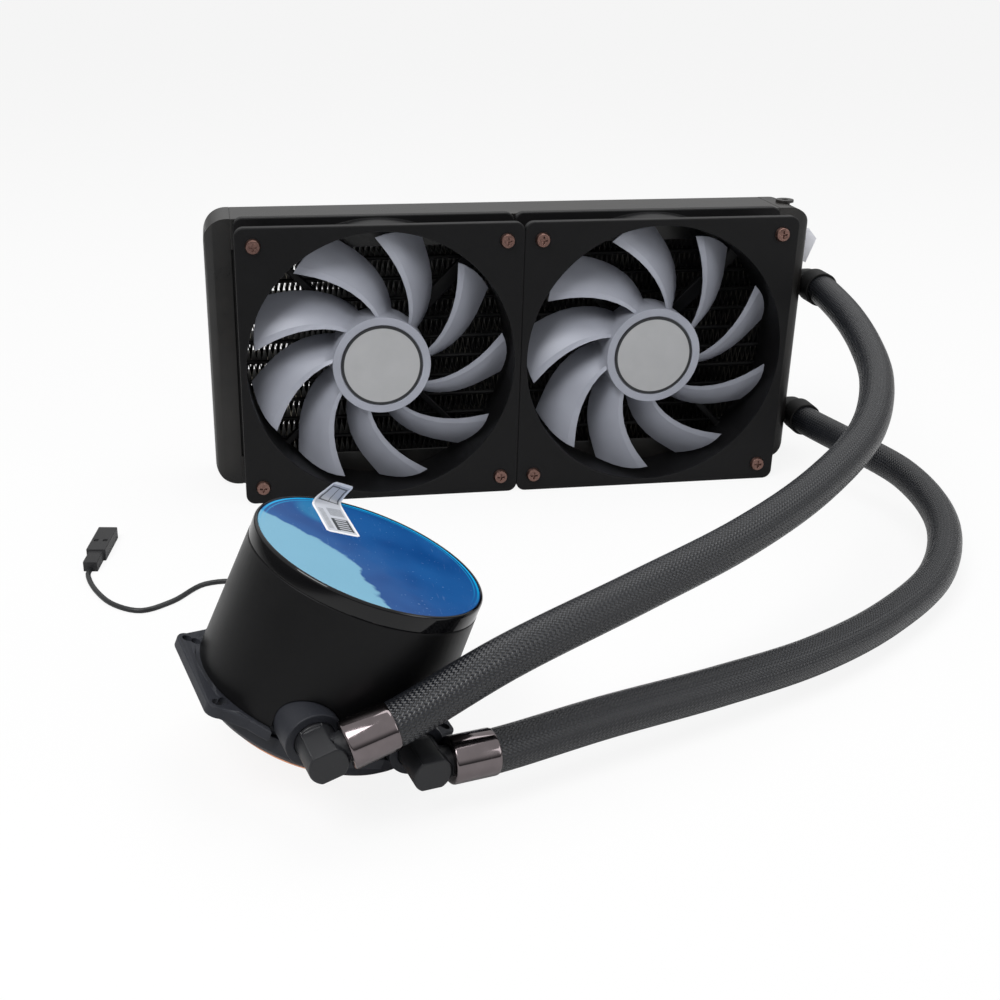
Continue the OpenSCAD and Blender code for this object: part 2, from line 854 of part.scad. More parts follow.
module pump_body() {
    taper = (body_foot_r - body_top_r) / (seam_z - body_z);
    color("#1a1b1c")
        at_pump()
            difference() {
                translate([0, 0, body_z])
                    cylinder(h = seam_z - body_z, r1 = body_foot_r, r2 = body_top_r);
                translate([0, 0, body_z - 1])
                    cylinder(h = deck_z - 1 - body_z,
                        r1 = body_foot_r - body_wall + taper,
                        r2 = body_foot_r - body_wall + taper - taper * (deck_z - 1 - body_z));
                translate([0, 0, deck_z]) cylinder(h = 5, r = body_top_r - body_wall);
                for (s = [-1, 1])
                    at_port(s) {
                        translate([0, 0, 10]) cylinder(h = 40, r = cup_r + 0.1);
                        translate([-cup_r - 0.1, body_z - port_z - 2, 10])
                            cube([2 * cup_r + 0.2, port_z - body_z + 2, 40]);
                    }
                at_grommet() cylinder(h = 20, r = grommet_r, center = true);
            }
}

module at_grommet() {
    rotate(grommet_angle)
        translate([body_foot_r - 0.3, 0, grommet_z])
            rotate([0, 90, 0])
                children();
}

module cable_grommet() {
    color("#121212")
        at_pump()
            at_grommet()
                difference() {
                    union() {
                        translate([0, 0, 0.2]) cylinder(h = 1.3, r = grommet_r + 1.4);
                        translate([0, 0, -3.5]) cylinder(h = 4, r = grommet_r);
                    }
                    translate([0, 0, -5]) cylinder(h = 4, r = cable_d / 2 + 0.5);
                }
}

module pump_bezel() {
    color("#0d0d0f")
        at_pump()
            difference() {
                union() {
                    translate([0, 0, seam_z]) cylinder(h = bezel_h - 0.6, r = body_top_r - 0.1);
                    translate([0, 0, pump_h - 0.6])
                        cylinder(h = 0.6, r1 = body_top_r - 0.1, r2 = body_top_r - 0.5);
                    translate([0, 0, deck_z]) cylinder(h = 2, r = body_top_r - body_wall);
                }
                translate([0, 0, deck_z - 1]) cylinder(h = 20, r = mirror_r - 2);
                translate([0, 0, pump_h - 2]) cylinder(h = 3, r = mirror_r + 0.05);
            }
}

module light_ring() {
    color("#e8e8e8")
        at_pump()
            translate([0, 0, deck_z])
                difference() {
                    union() {
                        cylinder(h = 1.2, r = mirror_r - 2.6);
                        for (a = [0:30:330])
                            rotate(a) translate([mirror_r - 7.5, -1.5, 1]) cube([3, 3, 1.4]);
                    }
                    translate([0, 0, -1]) cylinder(h = 4, r = mirror_r - 9);
                }
}

module mirror_disc() {
    color("#9fb4c4")
        at_pump()
            translate([0, 0, pump_h - 2]) cylinder(h = 1.6, r = mirror_r);
}

module blue_film() {
    color("#1f8fd0")
        at_pump()
            translate([0, 0, pump_h - 0.4]) cylinder(h = 0.2, r = mirror_r - 0.1);
}

module film_tab() {
    color("#f2f2f4")
        at_pump()
            translate([0, 0, pump_h - 0.2])
                union() {
                    linear_extrude(0.3)
                        polygon([[-10, 12.5], [-9, 10.8], [0.6, 10.5], [3, 33.6], [-8.5, 29.5]]);
                    translate([-8.5, 29.5, 0])
                        rotate([90, 0, atan2(4.1, 11.5)])
                            linear_extrude(0.3)
                                polygon([[0, 0], [12.2, 0], [12.6, 2.5], [15, 5.2], [9.5, 8],
                                    [6.5, 7], [0.8, 2.4]]);
                }
}

module chamber_plate() {
    color("#202124")
        at_pump()
            difference() {
                union() {
                    translate([0, 0, body_z]) cylinder(h = 2.5, r = chamber_r + 3);
                    translate([0, 0, body_z])
                        cylinder(h = can_top + can_wall - body_z, r = can_r + can_wall);
                }
                translate([0, 0, body_z - 1]) cylinder(h = can_top - body_z + 1, r = can_r);
            }
}

module pump_stator() {
    color("#7c4a2c")
        at_pump()
            translate([0, 0, body_z + 5])
                linear_extrude(coil_len)
                    difference() {
                        union() {
                            difference() {
                                circle(coil_out);
                                circle(coil_in);
                            }
                            for (a = [0:60:300])
                                rotate(a) translate([can_r, -arm_w / 2 - 0.5])
                                    square([coil_out - can_r - 2, arm_w + 1]);
                            circle(can_r + can_wall + 1.5);
                        }
                        circle(can_r + can_wall);
                    }
}

module control_board() {
    color("#1f5a35")
        at_pump()
            union() {
                translate([0, 0, can_top + can_wall]) cylinder(h = pump_board_t, r = pump_board_r);
                translate([-6, 12, can_top + can_wall + pump_board_t - 0.1]) cube([12, 6, 3]);
                translate([6, -12, can_top + can_wall + pump_board_t - 0.1]) cube([7, 7, 1.4]);
            }
}

module impeller() {
    color("#d8d4c8")
        at_pump()
            difference() {
                union() {
                    translate([0, 0, chamber_floor + 1]) cylinder(h = 1.2, r = impeller_r);
                    translate([0, 0, chamber_floor + 1])
                        cylinder(h = can_top - chamber_floor - 3, r = 2.5);
                    for (i = [0:vane_n - 1])
                        rotate(360 * i / vane_n)
                            translate([0, 0, chamber_floor + 2])
                                linear_extrude(3)
                                    intersection() {
                                        translate([impeller_r / 2, 6])
                                            difference() {
                                                circle(impeller_r / 2 + 2);
                                                circle(impeller_r / 2 + 1);
                                            }
                                        translate([1, -6]) square([impeller_r - 1.6, 7]);
                                    }
                }
                translate([0, 0, chamber_floor]) cylinder(h = can_top, r = shaft_r + run);
            }
}

module impeller_magnet() {
    color("#3a3a3e")
        at_pump()
            translate([0, 0, body_z + 4])
                difference() {
                    cylinder(h = rotor_len, r = can_r - 1);
                    translate([0, 0, -1]) cylinder(h = rotor_len + 2, r = 2.5);
                }
}

module impeller_shaft() {
    color("#efefef")
        at_pump()
            translate([0, 0, chamber_floor]) cylinder(h = can_top - chamber_floor, r = shaft_r);
}

// Elbows
module at_outlet(side, rise) {
    at_pump()
        at_port(side)
            translate([0, 0, outlet_y])
                rotate([0, 0, rise])
                    children();
}

module elbow(side, rise) {
    flat = barrel_r - 0.9;
    color("#1c1e21")
        difference() {
            union() {
                at_pump() at_port(side)
                    translate([0, 0, cup_in + 0.4])
                        cylinder(h = barrel_end - cup_in - 0.4, r = barrel_r);
                at_outlet(side, rise) rotate([0, 90, 0]) cylinder(h = hose_start, r = nipple_r);
            }
            at_outlet(side, rise) {
                for (s = [-1, 1])
                    translate([-10, s > 0 ? flat : -flat - 5, cup_out + 1 - outlet_y])
                        cube([20, 5, 30]);
                rotate([0, 90, 0]) cylinder(h = hose_start + 1, r = hose_bore);
            }
            at_pump() at_port(side) {
                translate([0, 0, cup_in]) cylinder(h = outlet_y - cup_in + 1, r = hose_bore);
                translate([0, 0, seal_y]) seal_ring(barrel_r + 1);
            }
        }
}

module elbow_upper() elbow(-1, upper_rise);
module elbow_lower() elbow(1, lower_rise);

module elbow_seal(side) {
    color("#0c0c0c")
        at_pump()
            at_port(side)
                translate([0, 0, seal_y]) seal_ring(barrel_r + run);
}

module seal_ring(r) {
    difference() {
        cylinder(h = seal_w, r = r);
        translate([0, 0, -1]) cylinder(h = seal_w + 2, r = barrel_r - seal_depth);
    }
}

module elbow_seal_upper() elbow_seal(-1);
module elbow_seal_lower() elbow_seal(1);

module ferrule(side, rise) {
    color("#6f7278")
        at_outlet(side, rise)
            rotate([0, 90, 0])
                translate([0, 0, ferrule_start])
                    difference() {
                        union() {
                            cylinder(h = 0.5, r1 = ferrule_r - 0.5, r2 = ferrule_r);
                            translate([0, 0, 0.5]) cylinder(h = ferrule_len - 1, r = ferrule_r);
                            translate([0, 0, ferrule_len - 0.5])
                                cylinder(h = 0.5, r1 = ferrule_r, r2 = ferrule_r - 0.3);
                        }
                        translate([0, 0, 1.2]) cylinder(h = ferrule_len, r = ferrule_r - ferrule_wall);
                        translate([0, 0, -1]) cylinder(h = 4, r = nipple_r);
                    }
}

module ferrule_upper() ferrule(-1, upper_rise);
module ferrule_lower() ferrule(1, lower_rise);

// Hoses and cable
module hose(side, rise, route, z) {
    start = outlet(side, rise, hose_start);
    clear = outlet(side, rise, ferrule_start + ferrule_len + 1);
    mouth = [knee_x, -collar_y - collar_len - 1, z];
    end = [knee_x, -barb_len, z];
    color("#141416")
        sweep(concat([start], curve(concat([clear], route, [mouth]), 3), [end]), hose_d / 2, 10);
}

module hose_upper() hose(-1, upper_rise, upper_route, fitting_upper_z);
module hose_lower() hose(1, lower_rise, lower_route, fitting_lower_z);

module pump_cable() {
    angle = grommet_angle;
    out = body_foot_r + 1.2;
    start = on_pump([out * cos(angle), out * sin(angle), grommet_z]);
    next = on_pump([(out + 5) * cos(angle), (out + 5) * sin(angle), grommet_z]);
    lie = cable_d / 2;
    boot = [for (y = [-4, 0]) plug_at + spin_z([0, y, lie], plug_turn)];
    color("#161616") sweep(concat([start, next], cable_route, boot), cable_d / 2, 8);
}

module pump_plug() {
    color("#1b1b1d")
        translate(plug_at)
            rotate(plug_turn)
                difference() {
                    union() {
                        translate([-plug_w / 2, boot_len, 0]) cube([plug_w, plug_len, plug_t]);
                        translate([-boot_w / 2, 0, 0]) cube([boot_w, boot_len + 1, plug_t - 0.8]);
                    }
                    for (i = [-1:1])
                        translate([i * pin_pitch - 0.6, boot_len + plug_len - 9, plug_t / 2 - 0.6])
                            cube([1.2, 10, 1.2]);
                    for (i = [-1, 1])
                        translate([i * 1.8 - 0.8, boot_len + 8, plug_t - 0.8]) cube([1.6, 2, 1]);
                }
}

tank_left();
tank_right();
header_plates();
core_tubes();
core_fins();
rail_top();
rail_bottom();
tank_fittings();
hose_collars();
fill_plug();
tank_label();
fan_left_frame();
fan_left_stator();
fan_left_board();
fan_left_bearing();
fan_left_rotor();
fan_left_magnet();
fan_left_shaft();
fan_left_clip();
fan_left_cap();
fan_right_frame();
fan_right_stator();
fan_right_board();
fan_right_bearing();
fan_right_rotor();
fan_right_magnet();
fan_right_shaft();
fan_right_clip();
fan_right_cap();
fan_screws();
pump_body();
pump_bezel();
mirror_disc();
blue_film();
film_tab();
light_ring();
control_board();
pump_stator();
chamber_plate();
impeller();
impeller_magnet();
impeller_shaft();
pump_base();
mounting_bracket();
cold_plate();
plate_gasket();
plate_screws();
elbow_upper();
elbow_lower();
elbow_seal_upper();
elbow_seal_lower();
ferrule_upper();
ferrule_lower();
hose_upper();
hose_lower();
cable_grommet();
pump_cable();
pump_plug();
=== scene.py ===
"""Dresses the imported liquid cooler: finishes, hoses, film, fins and a plain studio."""

import logging
import math
from dataclasses import dataclass, field
from enum import Enum
from typing import Iterable, Sequence

import bmesh
import bpy
from mathutils import Euler, Matrix, Vector


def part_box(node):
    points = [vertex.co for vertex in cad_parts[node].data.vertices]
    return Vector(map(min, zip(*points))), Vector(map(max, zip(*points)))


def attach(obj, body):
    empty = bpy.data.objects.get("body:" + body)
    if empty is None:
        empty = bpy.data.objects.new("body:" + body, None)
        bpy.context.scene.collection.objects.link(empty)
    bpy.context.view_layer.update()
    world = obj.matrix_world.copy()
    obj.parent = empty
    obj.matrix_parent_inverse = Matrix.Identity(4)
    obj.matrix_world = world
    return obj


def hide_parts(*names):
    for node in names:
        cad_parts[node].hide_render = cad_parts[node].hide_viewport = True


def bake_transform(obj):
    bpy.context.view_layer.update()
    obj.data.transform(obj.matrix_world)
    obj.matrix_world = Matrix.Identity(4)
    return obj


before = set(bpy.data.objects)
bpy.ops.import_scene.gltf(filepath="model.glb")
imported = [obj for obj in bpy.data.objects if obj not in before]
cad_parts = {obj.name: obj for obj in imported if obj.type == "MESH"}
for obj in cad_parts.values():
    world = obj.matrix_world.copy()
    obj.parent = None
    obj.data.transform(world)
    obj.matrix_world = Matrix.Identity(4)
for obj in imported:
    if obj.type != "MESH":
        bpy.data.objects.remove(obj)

LOG = logging.getLogger("cooler")
MM = 0.001
Triple = tuple[float, float, float]
Colour = Triple

# Points of a solid's mesh closer than this are one point
WELD = 2e-6
# Faces that meet at less than this are one flat face
FLAT = math.radians(0.6)
# Edges shorter than this are the rims of small holes, which stay sharp
SHORT_RIM = 0.25 * MM
# A fan wheel is rounded only as far out as its hub
HUB_REACH = 21.2 * MM
# A rounded copy may leave its solid's box by this much
GROWTH = 0.1 * MM


class Edge(Enum):
    """How far the edges of a piece are rounded, in metres."""

    CRISP = 0.0
    FINE = 0.15 * MM
    SOFT = 0.3 * MM
    ROUND = 0.5 * MM


class Body(Enum):
    """The rigid bodies that pieces ride on."""

    COOLER = "cooler"
    LEFT_WHEEL = "fan_left_wheel"
    RIGHT_WHEEL = "fan_right_wheel"
    UPPER_ELBOW = "upper_elbow"
    LOWER_ELBOW = "lower_elbow"


# Shader building


class Wire:
    """One value in a node tree, so that shader maths reads as Python."""

    def __init__(self, tree: "Tree", socket: bpy.types.NodeSocket) -> None:
        """Wraps a socket of a tree."""
        self.tree = tree
        self.socket = socket

    def _math(self, operation: str, *values: object) -> "Wire":
        """Adds one Math node over the given values."""
        made = self.tree.node("ShaderNodeMath", {"operation": operation}, dict(enumerate(values)))
        return Wire(self.tree, made.outputs[0])

    def __add__(self, other: object) -> "Wire":
        """Sum."""
        return self._math("ADD", self, other)

    __radd__ = __add__

    def __sub__(self, other: object) -> "Wire":
        """Difference."""
        return self._math("SUBTRACT", self, other)

    def __rsub__(self, other: object) -> "Wire":
        """Reflected difference, as in 1 - mask."""
        return self._math("SUBTRACT", other, self)

    def __mul__(self, other: object) -> "Wire":
        """Product."""
        return self._math("MULTIPLY", self, other)

    __rmul__ = __mul__

    def __pow__(self, other: object) -> "Wire":
        """Power."""
        return self._math("POWER", self, other)

    def __mod__(self, other: object) -> "Wire":
        """Remainder, never negative."""
        return self._math("FLOORED_MODULO", self, other)

    def __abs__(self) -> "Wire":
        """Size without sign."""
        return self._math("ABSOLUTE", self)

    def sine(self) -> "Wire":
        """Sine of radians."""
        return self._math("SINE", self)

    def floor(self) -> "Wire":
        """Whole part."""
        return self._math("FLOOR", self)

    def root(self) -> "Wire":
        """Square root."""
        return self._math("SQRT", self)

    def larger(self, other: object) -> "Wire":
        """The larger of the two."""
        return self._math("MAXIMUM", self, other)

    def ease(self, low: float, high: float) -> "Wire":
        """Rises smoothly from 0 at low to 1 at high, or falls where low is above high.

        Args:
            low: The value that gives 0.
            high: The value that gives 1.

        Returns:
            The eased value.
        """
        ends = {"From Min": min(low, high), "From Max": max(low, high)}
        made = self.tree.node("ShaderNodeMapRange", {"interpolation_type": "SMOOTHSTEP"},
                              {"Value": self, **ends})
        eased = Wire(self.tree, made.outputs[0])
        return eased if low < high else 1 - eased


class Tree:
    """A node tree with one method that makes any node."""

    def __init__(self, tree: bpy.types.NodeTree) -> None:
        """Clears the tree."""
        self.tree = tree
        tree.nodes.clear()

    def node(self, kind: str, settings: dict | None = None,
             sockets: dict | None = None) -> bpy.types.Node:
        """Makes a node.

        Args:
            kind: The node's type.
            settings: Its own settings, set first.
            sockets: Values or links of its inputs, by name or place.

        Returns:
            The node.
        """
        made = self.tree.nodes.new(kind)
        for key, value in (settings or {}).items():
            setattr(made, key, value)
        for key, value in (sockets or {}).items():
            source = value.socket if isinstance(value, Wire) else value
            if isinstance(source, bpy.types.NodeSocket):
                self.tree.links.new(source, made.inputs[key])
            else:
                made.inputs[key].default_value = source
        return made


class Recipe(Tree):
    """A material on its way to being finished."""

    def __init__(self, name: str) -> None:
        """Starts an empty material of that name."""
        self.material = bpy.data.materials.new(name)
        self.material.use_nodes = True
        super().__init__(self.material.node_tree)
        self.where = self.node("ShaderNodeTexCoord")

    def axes(self) -> tuple[Wire, Wire, Wire]:
        """The three object coordinates, in metres."""
        made = self.node("ShaderNodeSeparateXYZ", None, {0: self.where.outputs["Object"]})
        return tuple(Wire(self, s) for s in made.outputs)

    def unwrapped(self) -> tuple[Wire, Wire]:
        """The two coordinates of the piece's own map."""
        made = self.node("ShaderNodeSeparateXYZ", None, {0: self.where.outputs["UV"]})
        return Wire(self, made.outputs[0]), Wire(self, made.outputs[1])

    def along(self, axis: Vector, origin: Vector) -> Wire:
        """How far a point lies from a place, measured along a direction.

        Args:
            axis: The direction, of length one.
            origin: The place.

        Returns:
            The distance in metres.
        """
        made = self.node("ShaderNodeVectorMath", {"operation": "DOT_PRODUCT"},
                         {0: self.where.outputs["Object"], 1: tuple(axis)})
        return Wire(self, made.outputs["Value"]) - axis.dot(origin)

    def noise(self, size: float, detail: float = 2.0, stretch: Triple = (1.0, 1.0, 1.0)) -> Wire:
        """Soft noise.

        Args:
            size: The size of one grain in metres.
            detail: How many finer layers it has.
            stretch: Scale along each axis.

        Returns:
            A value from 0 to 1.
        """
        placed = self.node("ShaderNodeMapping", None,
                           {"Vector": self.where.outputs["Object"], "Scale": stretch})
        made = self.node("ShaderNodeTexNoise", None,
                         {"Vector": placed.outputs[0], "Scale": 1 / size, "Detail": detail})
        return Wire(self, made.outputs[0])

    def mix(self, mask: object, low: object, high: object) -> bpy.types.NodeSocket:
        """Mixes two colours.

        Args:
            mask: 0 gives the first, 1 the second.
            low: The first colour, as three numbers or a socket.
            high: The second colour, likewise.

        Returns:
            The mixed colour.
        """
        ends = [(*c, 1.0) if isinstance(c, tuple) else c for c in (low, high)]
        made = self.node("ShaderNodeMix", {"data_type": "RGBA"}, {0: mask, 6: ends[0], 7: ends[1]})
        return made.outputs[2]

    def bump(self, height: Wire, depth: float) -> bpy.types.NodeSocket:
        """A normal for the shader from a height.

        Args:
            height: The height, about 0 to 1.
            depth: What a height of 1 stands for, in metres.

        Returns:
            The normal.
        """
        made = self.node("ShaderNodeBump", None, {"Strength": 1.0, "Distance": depth, "Height": height})
        return made.outputs[0]

    def surface(self, sockets: dict) -> bpy.types.Material:
        """Closes the material with its shader.

        Args:
            sockets: Values or links of the shader's inputs, by name.

        Returns:
            The finished material.
        """
        shader = self.node("ShaderNodeBsdfPrincipled", None, sockets)
        self.node("ShaderNodeOutputMaterial", None, {"Surface": shader.outputs[0]})
        return self.material


def tint(colour: Colour, by: float) -> Colour:
    """A lighter or darker colour.

    Args:
        colour: The colour.
        by: The factor on each channel.

    Returns:
        The new colour.
    """
    return tuple(min(1.0, c * by) for c in colour)


@dataclass(frozen=True)
class Moulded:
    """Moulded plastic or rubber with a fine grain and a slow change of sheen."""

    name: str
    colour: Colour
    roughness: float = 0.5
    gloss: float = 0.25
    grain: float = 0.35 * MM
    depth: float = 0.012 * MM
    mottle: float = 0.18

    def paint(self) -> bpy.types.Material:
        """Builds the material."""
        r = Recipe(self.name)
        fine, broad = r.noise(self.grain, 2.0), r.noise(14 * MM, 3.0)
        dust = r.noise(0.9 * MM, 0.0).ease(0.74, 0.8)
        shade = r.mix(broad, tint(self.colour, 1 - self.mottle), tint(self.colour, 1 + self.mottle))
        return r.surface({
            "Base Color": r.mix(dust * 0.12, shade, tint(self.colour, 3.0)),
            "Roughness": self.roughness + (broad - 0.5) * 0.16 + (fine - 0.5) * 0.1,
            "Specular IOR Level": self.gloss,
            "Normal": r.bump(fine, self.depth)})


@dataclass(frozen=True)
class Painted:
    """Sheet metal under baked paint, with a slight ripple."""

    name: str
    colour: Colour
    roughness: float = 0.4
    gloss: float = 0.5
    tone: Colour = (0.05, 0.045, 0.042)

    def paint(self) -> bpy.types.Material:
        """Builds the material."""
        r = Recipe(self.name)
        ripple, broad, fine = r.noise(1.6 * MM, 1.0), r.noise(22 * MM, 3.0), r.noise(0.2 * MM, 1.0)
        return r.surface({
            "Base Color": r.mix(broad.ease(0.35, 0.75), self.colour, self.tone),
            "Roughness": self.roughness + (broad - 0.5) * 0.2 + (fine - 0.5) * 0.08,
            "Specular IOR Level": self.gloss,
            "Normal": r.bump(ripple + fine * 0.3, 0.02 * MM)})


@dataclass(frozen=True)
class BladeSatin:
    """The satin lilac grey of the fan wheels, with a faint flow along the blades."""

    name: str
    colour: Colour
    roughness: float = 0.44

    def paint(self) -> bpy.types.Material:
        """Builds the material."""
        r = Recipe(self.name)
        broad, fine = r.noise(16 * MM, 2.0), r.noise(0.25 * MM, 2.0)
        return r.surface({
            "Base Color": r.mix(broad, tint(self.colour, 0.88), tint(self.colour, 1.12)),
            "Metallic": 0.1,
            "Roughness": self.roughness + (broad - 0.5) * 0.12 + (fine - 0.5) * 0.1,
            "Specular IOR Level": 0.4,
            "Normal": r.bump(fine, 0.006 * MM)})


@dataclass(frozen=True)
class CapDisc:
    """Light grey disc of a hub with a dark ring along its edge, painted shade of the gap round the cap.
    """

    name: str
    centre: Triple
    radius: float = 17.4 * MM

    def paint(self) -> bpy.types.Material:
        """Builds the material."""
        r = Recipe(self.name)
        x, _, z = r.axes()
        away_x, away_z = x - self.centre[0], z - self.centre[2]
        reach = (away_x * away_x + away_z * away_z).root()
        # Painted shade: the cap's outer edge is darkened to stand for the shade in the gap between cap
        # and hub.
        ring = reach.ease(self.radius - 1.25 * MM, self.radius - 1.05 * MM)
        broad = r.noise(9 * MM, 2.0)
        face = r.mix(broad, (0.36, 0.365, 0.375), (0.43, 0.435, 0.445))
        return r.surface({
            "Base Color": r.mix(ring, face, (0.02, 0.021, 0.024)),
            "Roughness": 0.34 + broad * 0.1,
            "Specular IOR Level": 0.35,
            "Normal": r.bump(r.noise(0.4 * MM, 1.0), 0.003 * MM)})


@dataclass(frozen=True)
class FinStock:
    """Folded fin strip: dark paint, with bare bright metal on its cut edges and a painted highlight of
    glints on them that grows towards the left end.
    """

    name: str
    depth: float = 9 * MM

    def paint(self) -> bpy.types.Material:
        """Builds the material."""
        r = Recipe(self.name)
        x, y, _ = r.axes()
        # Patches of bare metal on the cut edges, made far brighter towards the left end as a painted
        # highlight of the glints that the light gives there.
        wear_and_glint = r.noise(2.5 * MM, 3.0).ease(0.42, 0.6) * (0.12 + x.ease(-88 * MM, -98 * MM) * 0.88)
        edge = abs(y).ease(self.depth - 0.35 * MM, self.depth - 0.1 * MM) * wear_and_glint
        return r.surface({
            "Base Color": r.mix(edge, (0.006, 0.006, 0.0065), (0.62, 0.57, 0.46)),
            "Metallic": edge * 0.7,
            "Roughness": 0.5 - edge * 0.15,
            "Specular IOR Level": 0.35})


@dataclass(frozen=True)
class Braid:
    """A woven sleeve: two families of strands that cross over and under, with a painted highlight on the
    crest of each strand.
    """

    name: str
    strands: int = 34

    def paint(self) -> bpy.types.Material:
        """Builds the material."""
        r = Recipe(self.name)
        u, v = r.unwrapped()
        left, right = (u + v * 0.8) * self.strands, (u - v * 0.8) * self.strands
        turn = (left.floor() + right.floor()) % 2
        ridge_left, ridge_right = abs((left * math.pi).sine()), abs((right * math.pi).sine())
        ridge = ridge_left * turn + ridge_right * (1 - turn)
        hair = r.noise(0.12 * MM, 1.0)
        # Painted highlight: the crests of the strands are given a lighter colour as a glint.
        crest_glint = (ridge ** 4.0) * (0.55 + hair * 0.9)
        return r.surface({
            "Base Color": r.mix(crest_glint * 0.75, (0.0015, 0.0015, 0.002), (0.02, 0.0235, 0.032)),
            "Roughness": 0.38 - crest_glint * 0.16,
            "Specular IOR Level": 0.45,
            "Normal": r.bump(ridge + hair * 0.15, 0.16 * MM)})


@dataclass(frozen=True)
class DarkChrome:
    """Smoked bright plating with faint turning marks."""

    name: str
    colour: Colour

    def paint(self) -> bpy.types.Material:
        """Builds the material."""
        r = Recipe(self.name)
        smear, marks = r.noise(5 * MM, 3.0), r.noise(0.3 * MM, 1.0)
        return r.surface({
            "Base Color": r.mix(smear, tint(self.colour, 0.8), tint(self.colour, 1.25)),
            "Metallic": 1.0,
            "Roughness": 0.06 + smear.ease(0.45, 0.7) * 0.08,
            "Normal": r.bump(marks, 0.001 * MM)})


@dataclass(frozen=True)
class BareMetal:
    """Bare or thinly coated metal, milled or ground."""

    name: str
    colour: Colour
    roughness: float = 0.35
    grain: float = 0.15 * MM

    def paint(self) -> bpy.types.Material:
        """Builds the material."""
        r = Recipe(self.name)
        fine, broad = r.noise(self.grain, 2.0), r.noise(3 * MM, 3.0)
        return r.surface({
            "Base Color": r.mix(broad, tint(self.colour, 0.75), tint(self.colour, 1.2)),
            "Metallic": 1.0,
            "Roughness": self.roughness + (broad - 0.5) * 0.2,
            "Normal": r.bump(fine, 0.006 * MM)})


@dataclass(frozen=True)
class FilmedMirror:
    """The mirror under its blue film: a pale painted reflection of a soft lamp on one side, deep blue on
    the other, a paler painted patch round the tab as its shadow, and bright painted reflections of the
    bezel's lip along the back of the rim.
    """

    name: str
    matrix: tuple
    radius: float = 34.2 * MM

    def paint(self) -> bpy.types.Material:
        """Builds the material."""
        r = Recipe(self.name)
        turn = Matrix(self.matrix)
        origin = turn.translation
        x, y = (r.along(turn.col[i].to_3d(), origin) for i in (0, 1))
        wave, cloud = r.noise(8 * MM, 3.0), r.noise(24 * MM, 2.0)
        # The wavy, soft border of a pale painted reflection of a soft lamp on the film.
        straight = x + 7.8 * MM
        slanted = (x + 9.1 * MM) * 0.757 + (y + 5.1 * MM) * 0.652
        border = straight.larger(slanted) + (wave - 0.5) * (9 * MM)
        pale = border.ease(0.7 * MM, -0.9 * MM)
        # A paler cyan patch painted round the tab, standing for the tab's shadow on the film.
        tab_shadow_patch = ((x + 7 * MM) ** 2.0 + (y - 24 * MM) ** 2.0).root().ease(10 * MM, 6 * MM) * 0.5
        reach = (x * x + y * y).root()
        # Two bright cyan lines painted along the rim, strongest towards the back, as reflections of the
        # bezel's inner lip.
        back = (y + x * 0.55).ease(-12 * MM, 14 * MM)
        outer_rim_reflection = abs(reach - (self.radius - 0.5 * MM)).ease(0.42 * MM, 0.2 * MM)
        inner_rim_reflection = abs(reach - (self.radius - 1.7 * MM)).ease(0.3 * MM, 0.1 * MM) * 0.55
        scratch = r.noise(1.1 * MM, 4.0, (1.0, 0.12, 1.0)).ease(0.66, 0.74)
        speck = r.noise(0.7 * MM, 0.0).ease(0.8, 0.84)
        deep = r.mix(cloud.ease(0.3, 0.7), (0.004, 0.058, 0.23), (0.011, 0.095, 0.31))
        reflection_window = r.mix(cloud, (0.17, 0.39, 0.53), (0.2, 0.44, 0.6))
        body = r.mix(pale, r.mix(tab_shadow_patch, deep, (0.03, 0.27, 0.5)), reflection_window)
        marked = r.mix(scratch * 0.08 + speck * 0.25, body, (0.35, 0.6, 0.8))
        return r.surface({
            "Base Color": r.mix(outer_rim_reflection.larger(inner_rim_reflection) * back, marked, (0.005, 0.4, 0.75)),
            "Roughness": 0.12 + scratch * 0.1,
            "Specular IOR Level": 0.1,
            "Normal": r.bump(wave + scratch * 0.05, 0.04 * MM)})


@dataclass(frozen=True)
class TabPrint:
    """White film tab with a plain frame, a dark block and light bars, all of no meaning."""

    name: str

    def paint(self) -> bpy.types.Material:
        """Builds the material."""
        r = Recipe(self.name)
        u, v = r.unwrapped()
        inside = (u.ease(0.06, 0.08) * u.ease(0.94, 0.92)) * (v.ease(0.03, 0.04) * v.ease(0.97, 0.96))
        block = v.ease(0.07, 0.08) * v.ease(0.36, 0.35) * u.ease(0.36, 0.38) * u.ease(0.9, 0.88)
        bars = abs((v * 62.0).sine()).ease(0.6, 0.8) * u.ease(0.46, 0.48) * u.ease(0.84, 0.82)
        lines = abs((v * 105.0).sine()).ease(0.55, 0.75) * u.ease(0.12, 0.14) * u.ease(0.3, 0.28)
        lines = lines * v.ease(0.08, 0.1) * v.ease(0.58, 0.56)
        upper_block = v.ease(0.42, 0.43) * v.ease(0.6, 0.59) * u.ease(0.4, 0.42) * u.ease(0.88, 0.86)
        stripes = abs((v * 120.0).sine()).ease(0.5, 0.7) * upper_block
        across, up = abs(u - 0.5), abs(v - 0.83)
        panes = across.larger(up * 3.4).ease(0.39, 0.37) * across.larger(up * 3.4).ease(0.31, 0.33)
        sill = across.ease(0.02, 0.01) * up.ease(0.1, 0.09)
        ink = (block * (1 - bars * 0.85)).larger(lines * 0.6).larger(stripes * 0.7)
        ink = ink.larger(panes.larger(sill) * 0.85)
        face = r.mix(inside, (0.9, 0.9, 0.92), (0.55, 0.57, 0.62))
        inked = r.mix(ink, face, (0.02, 0.025, 0.03))
        return r.surface({
            "Base Color": inked,
            "Roughness": 0.3 + r.noise(2 * MM) * 0.1,
            "Specular IOR Level": 0.4})


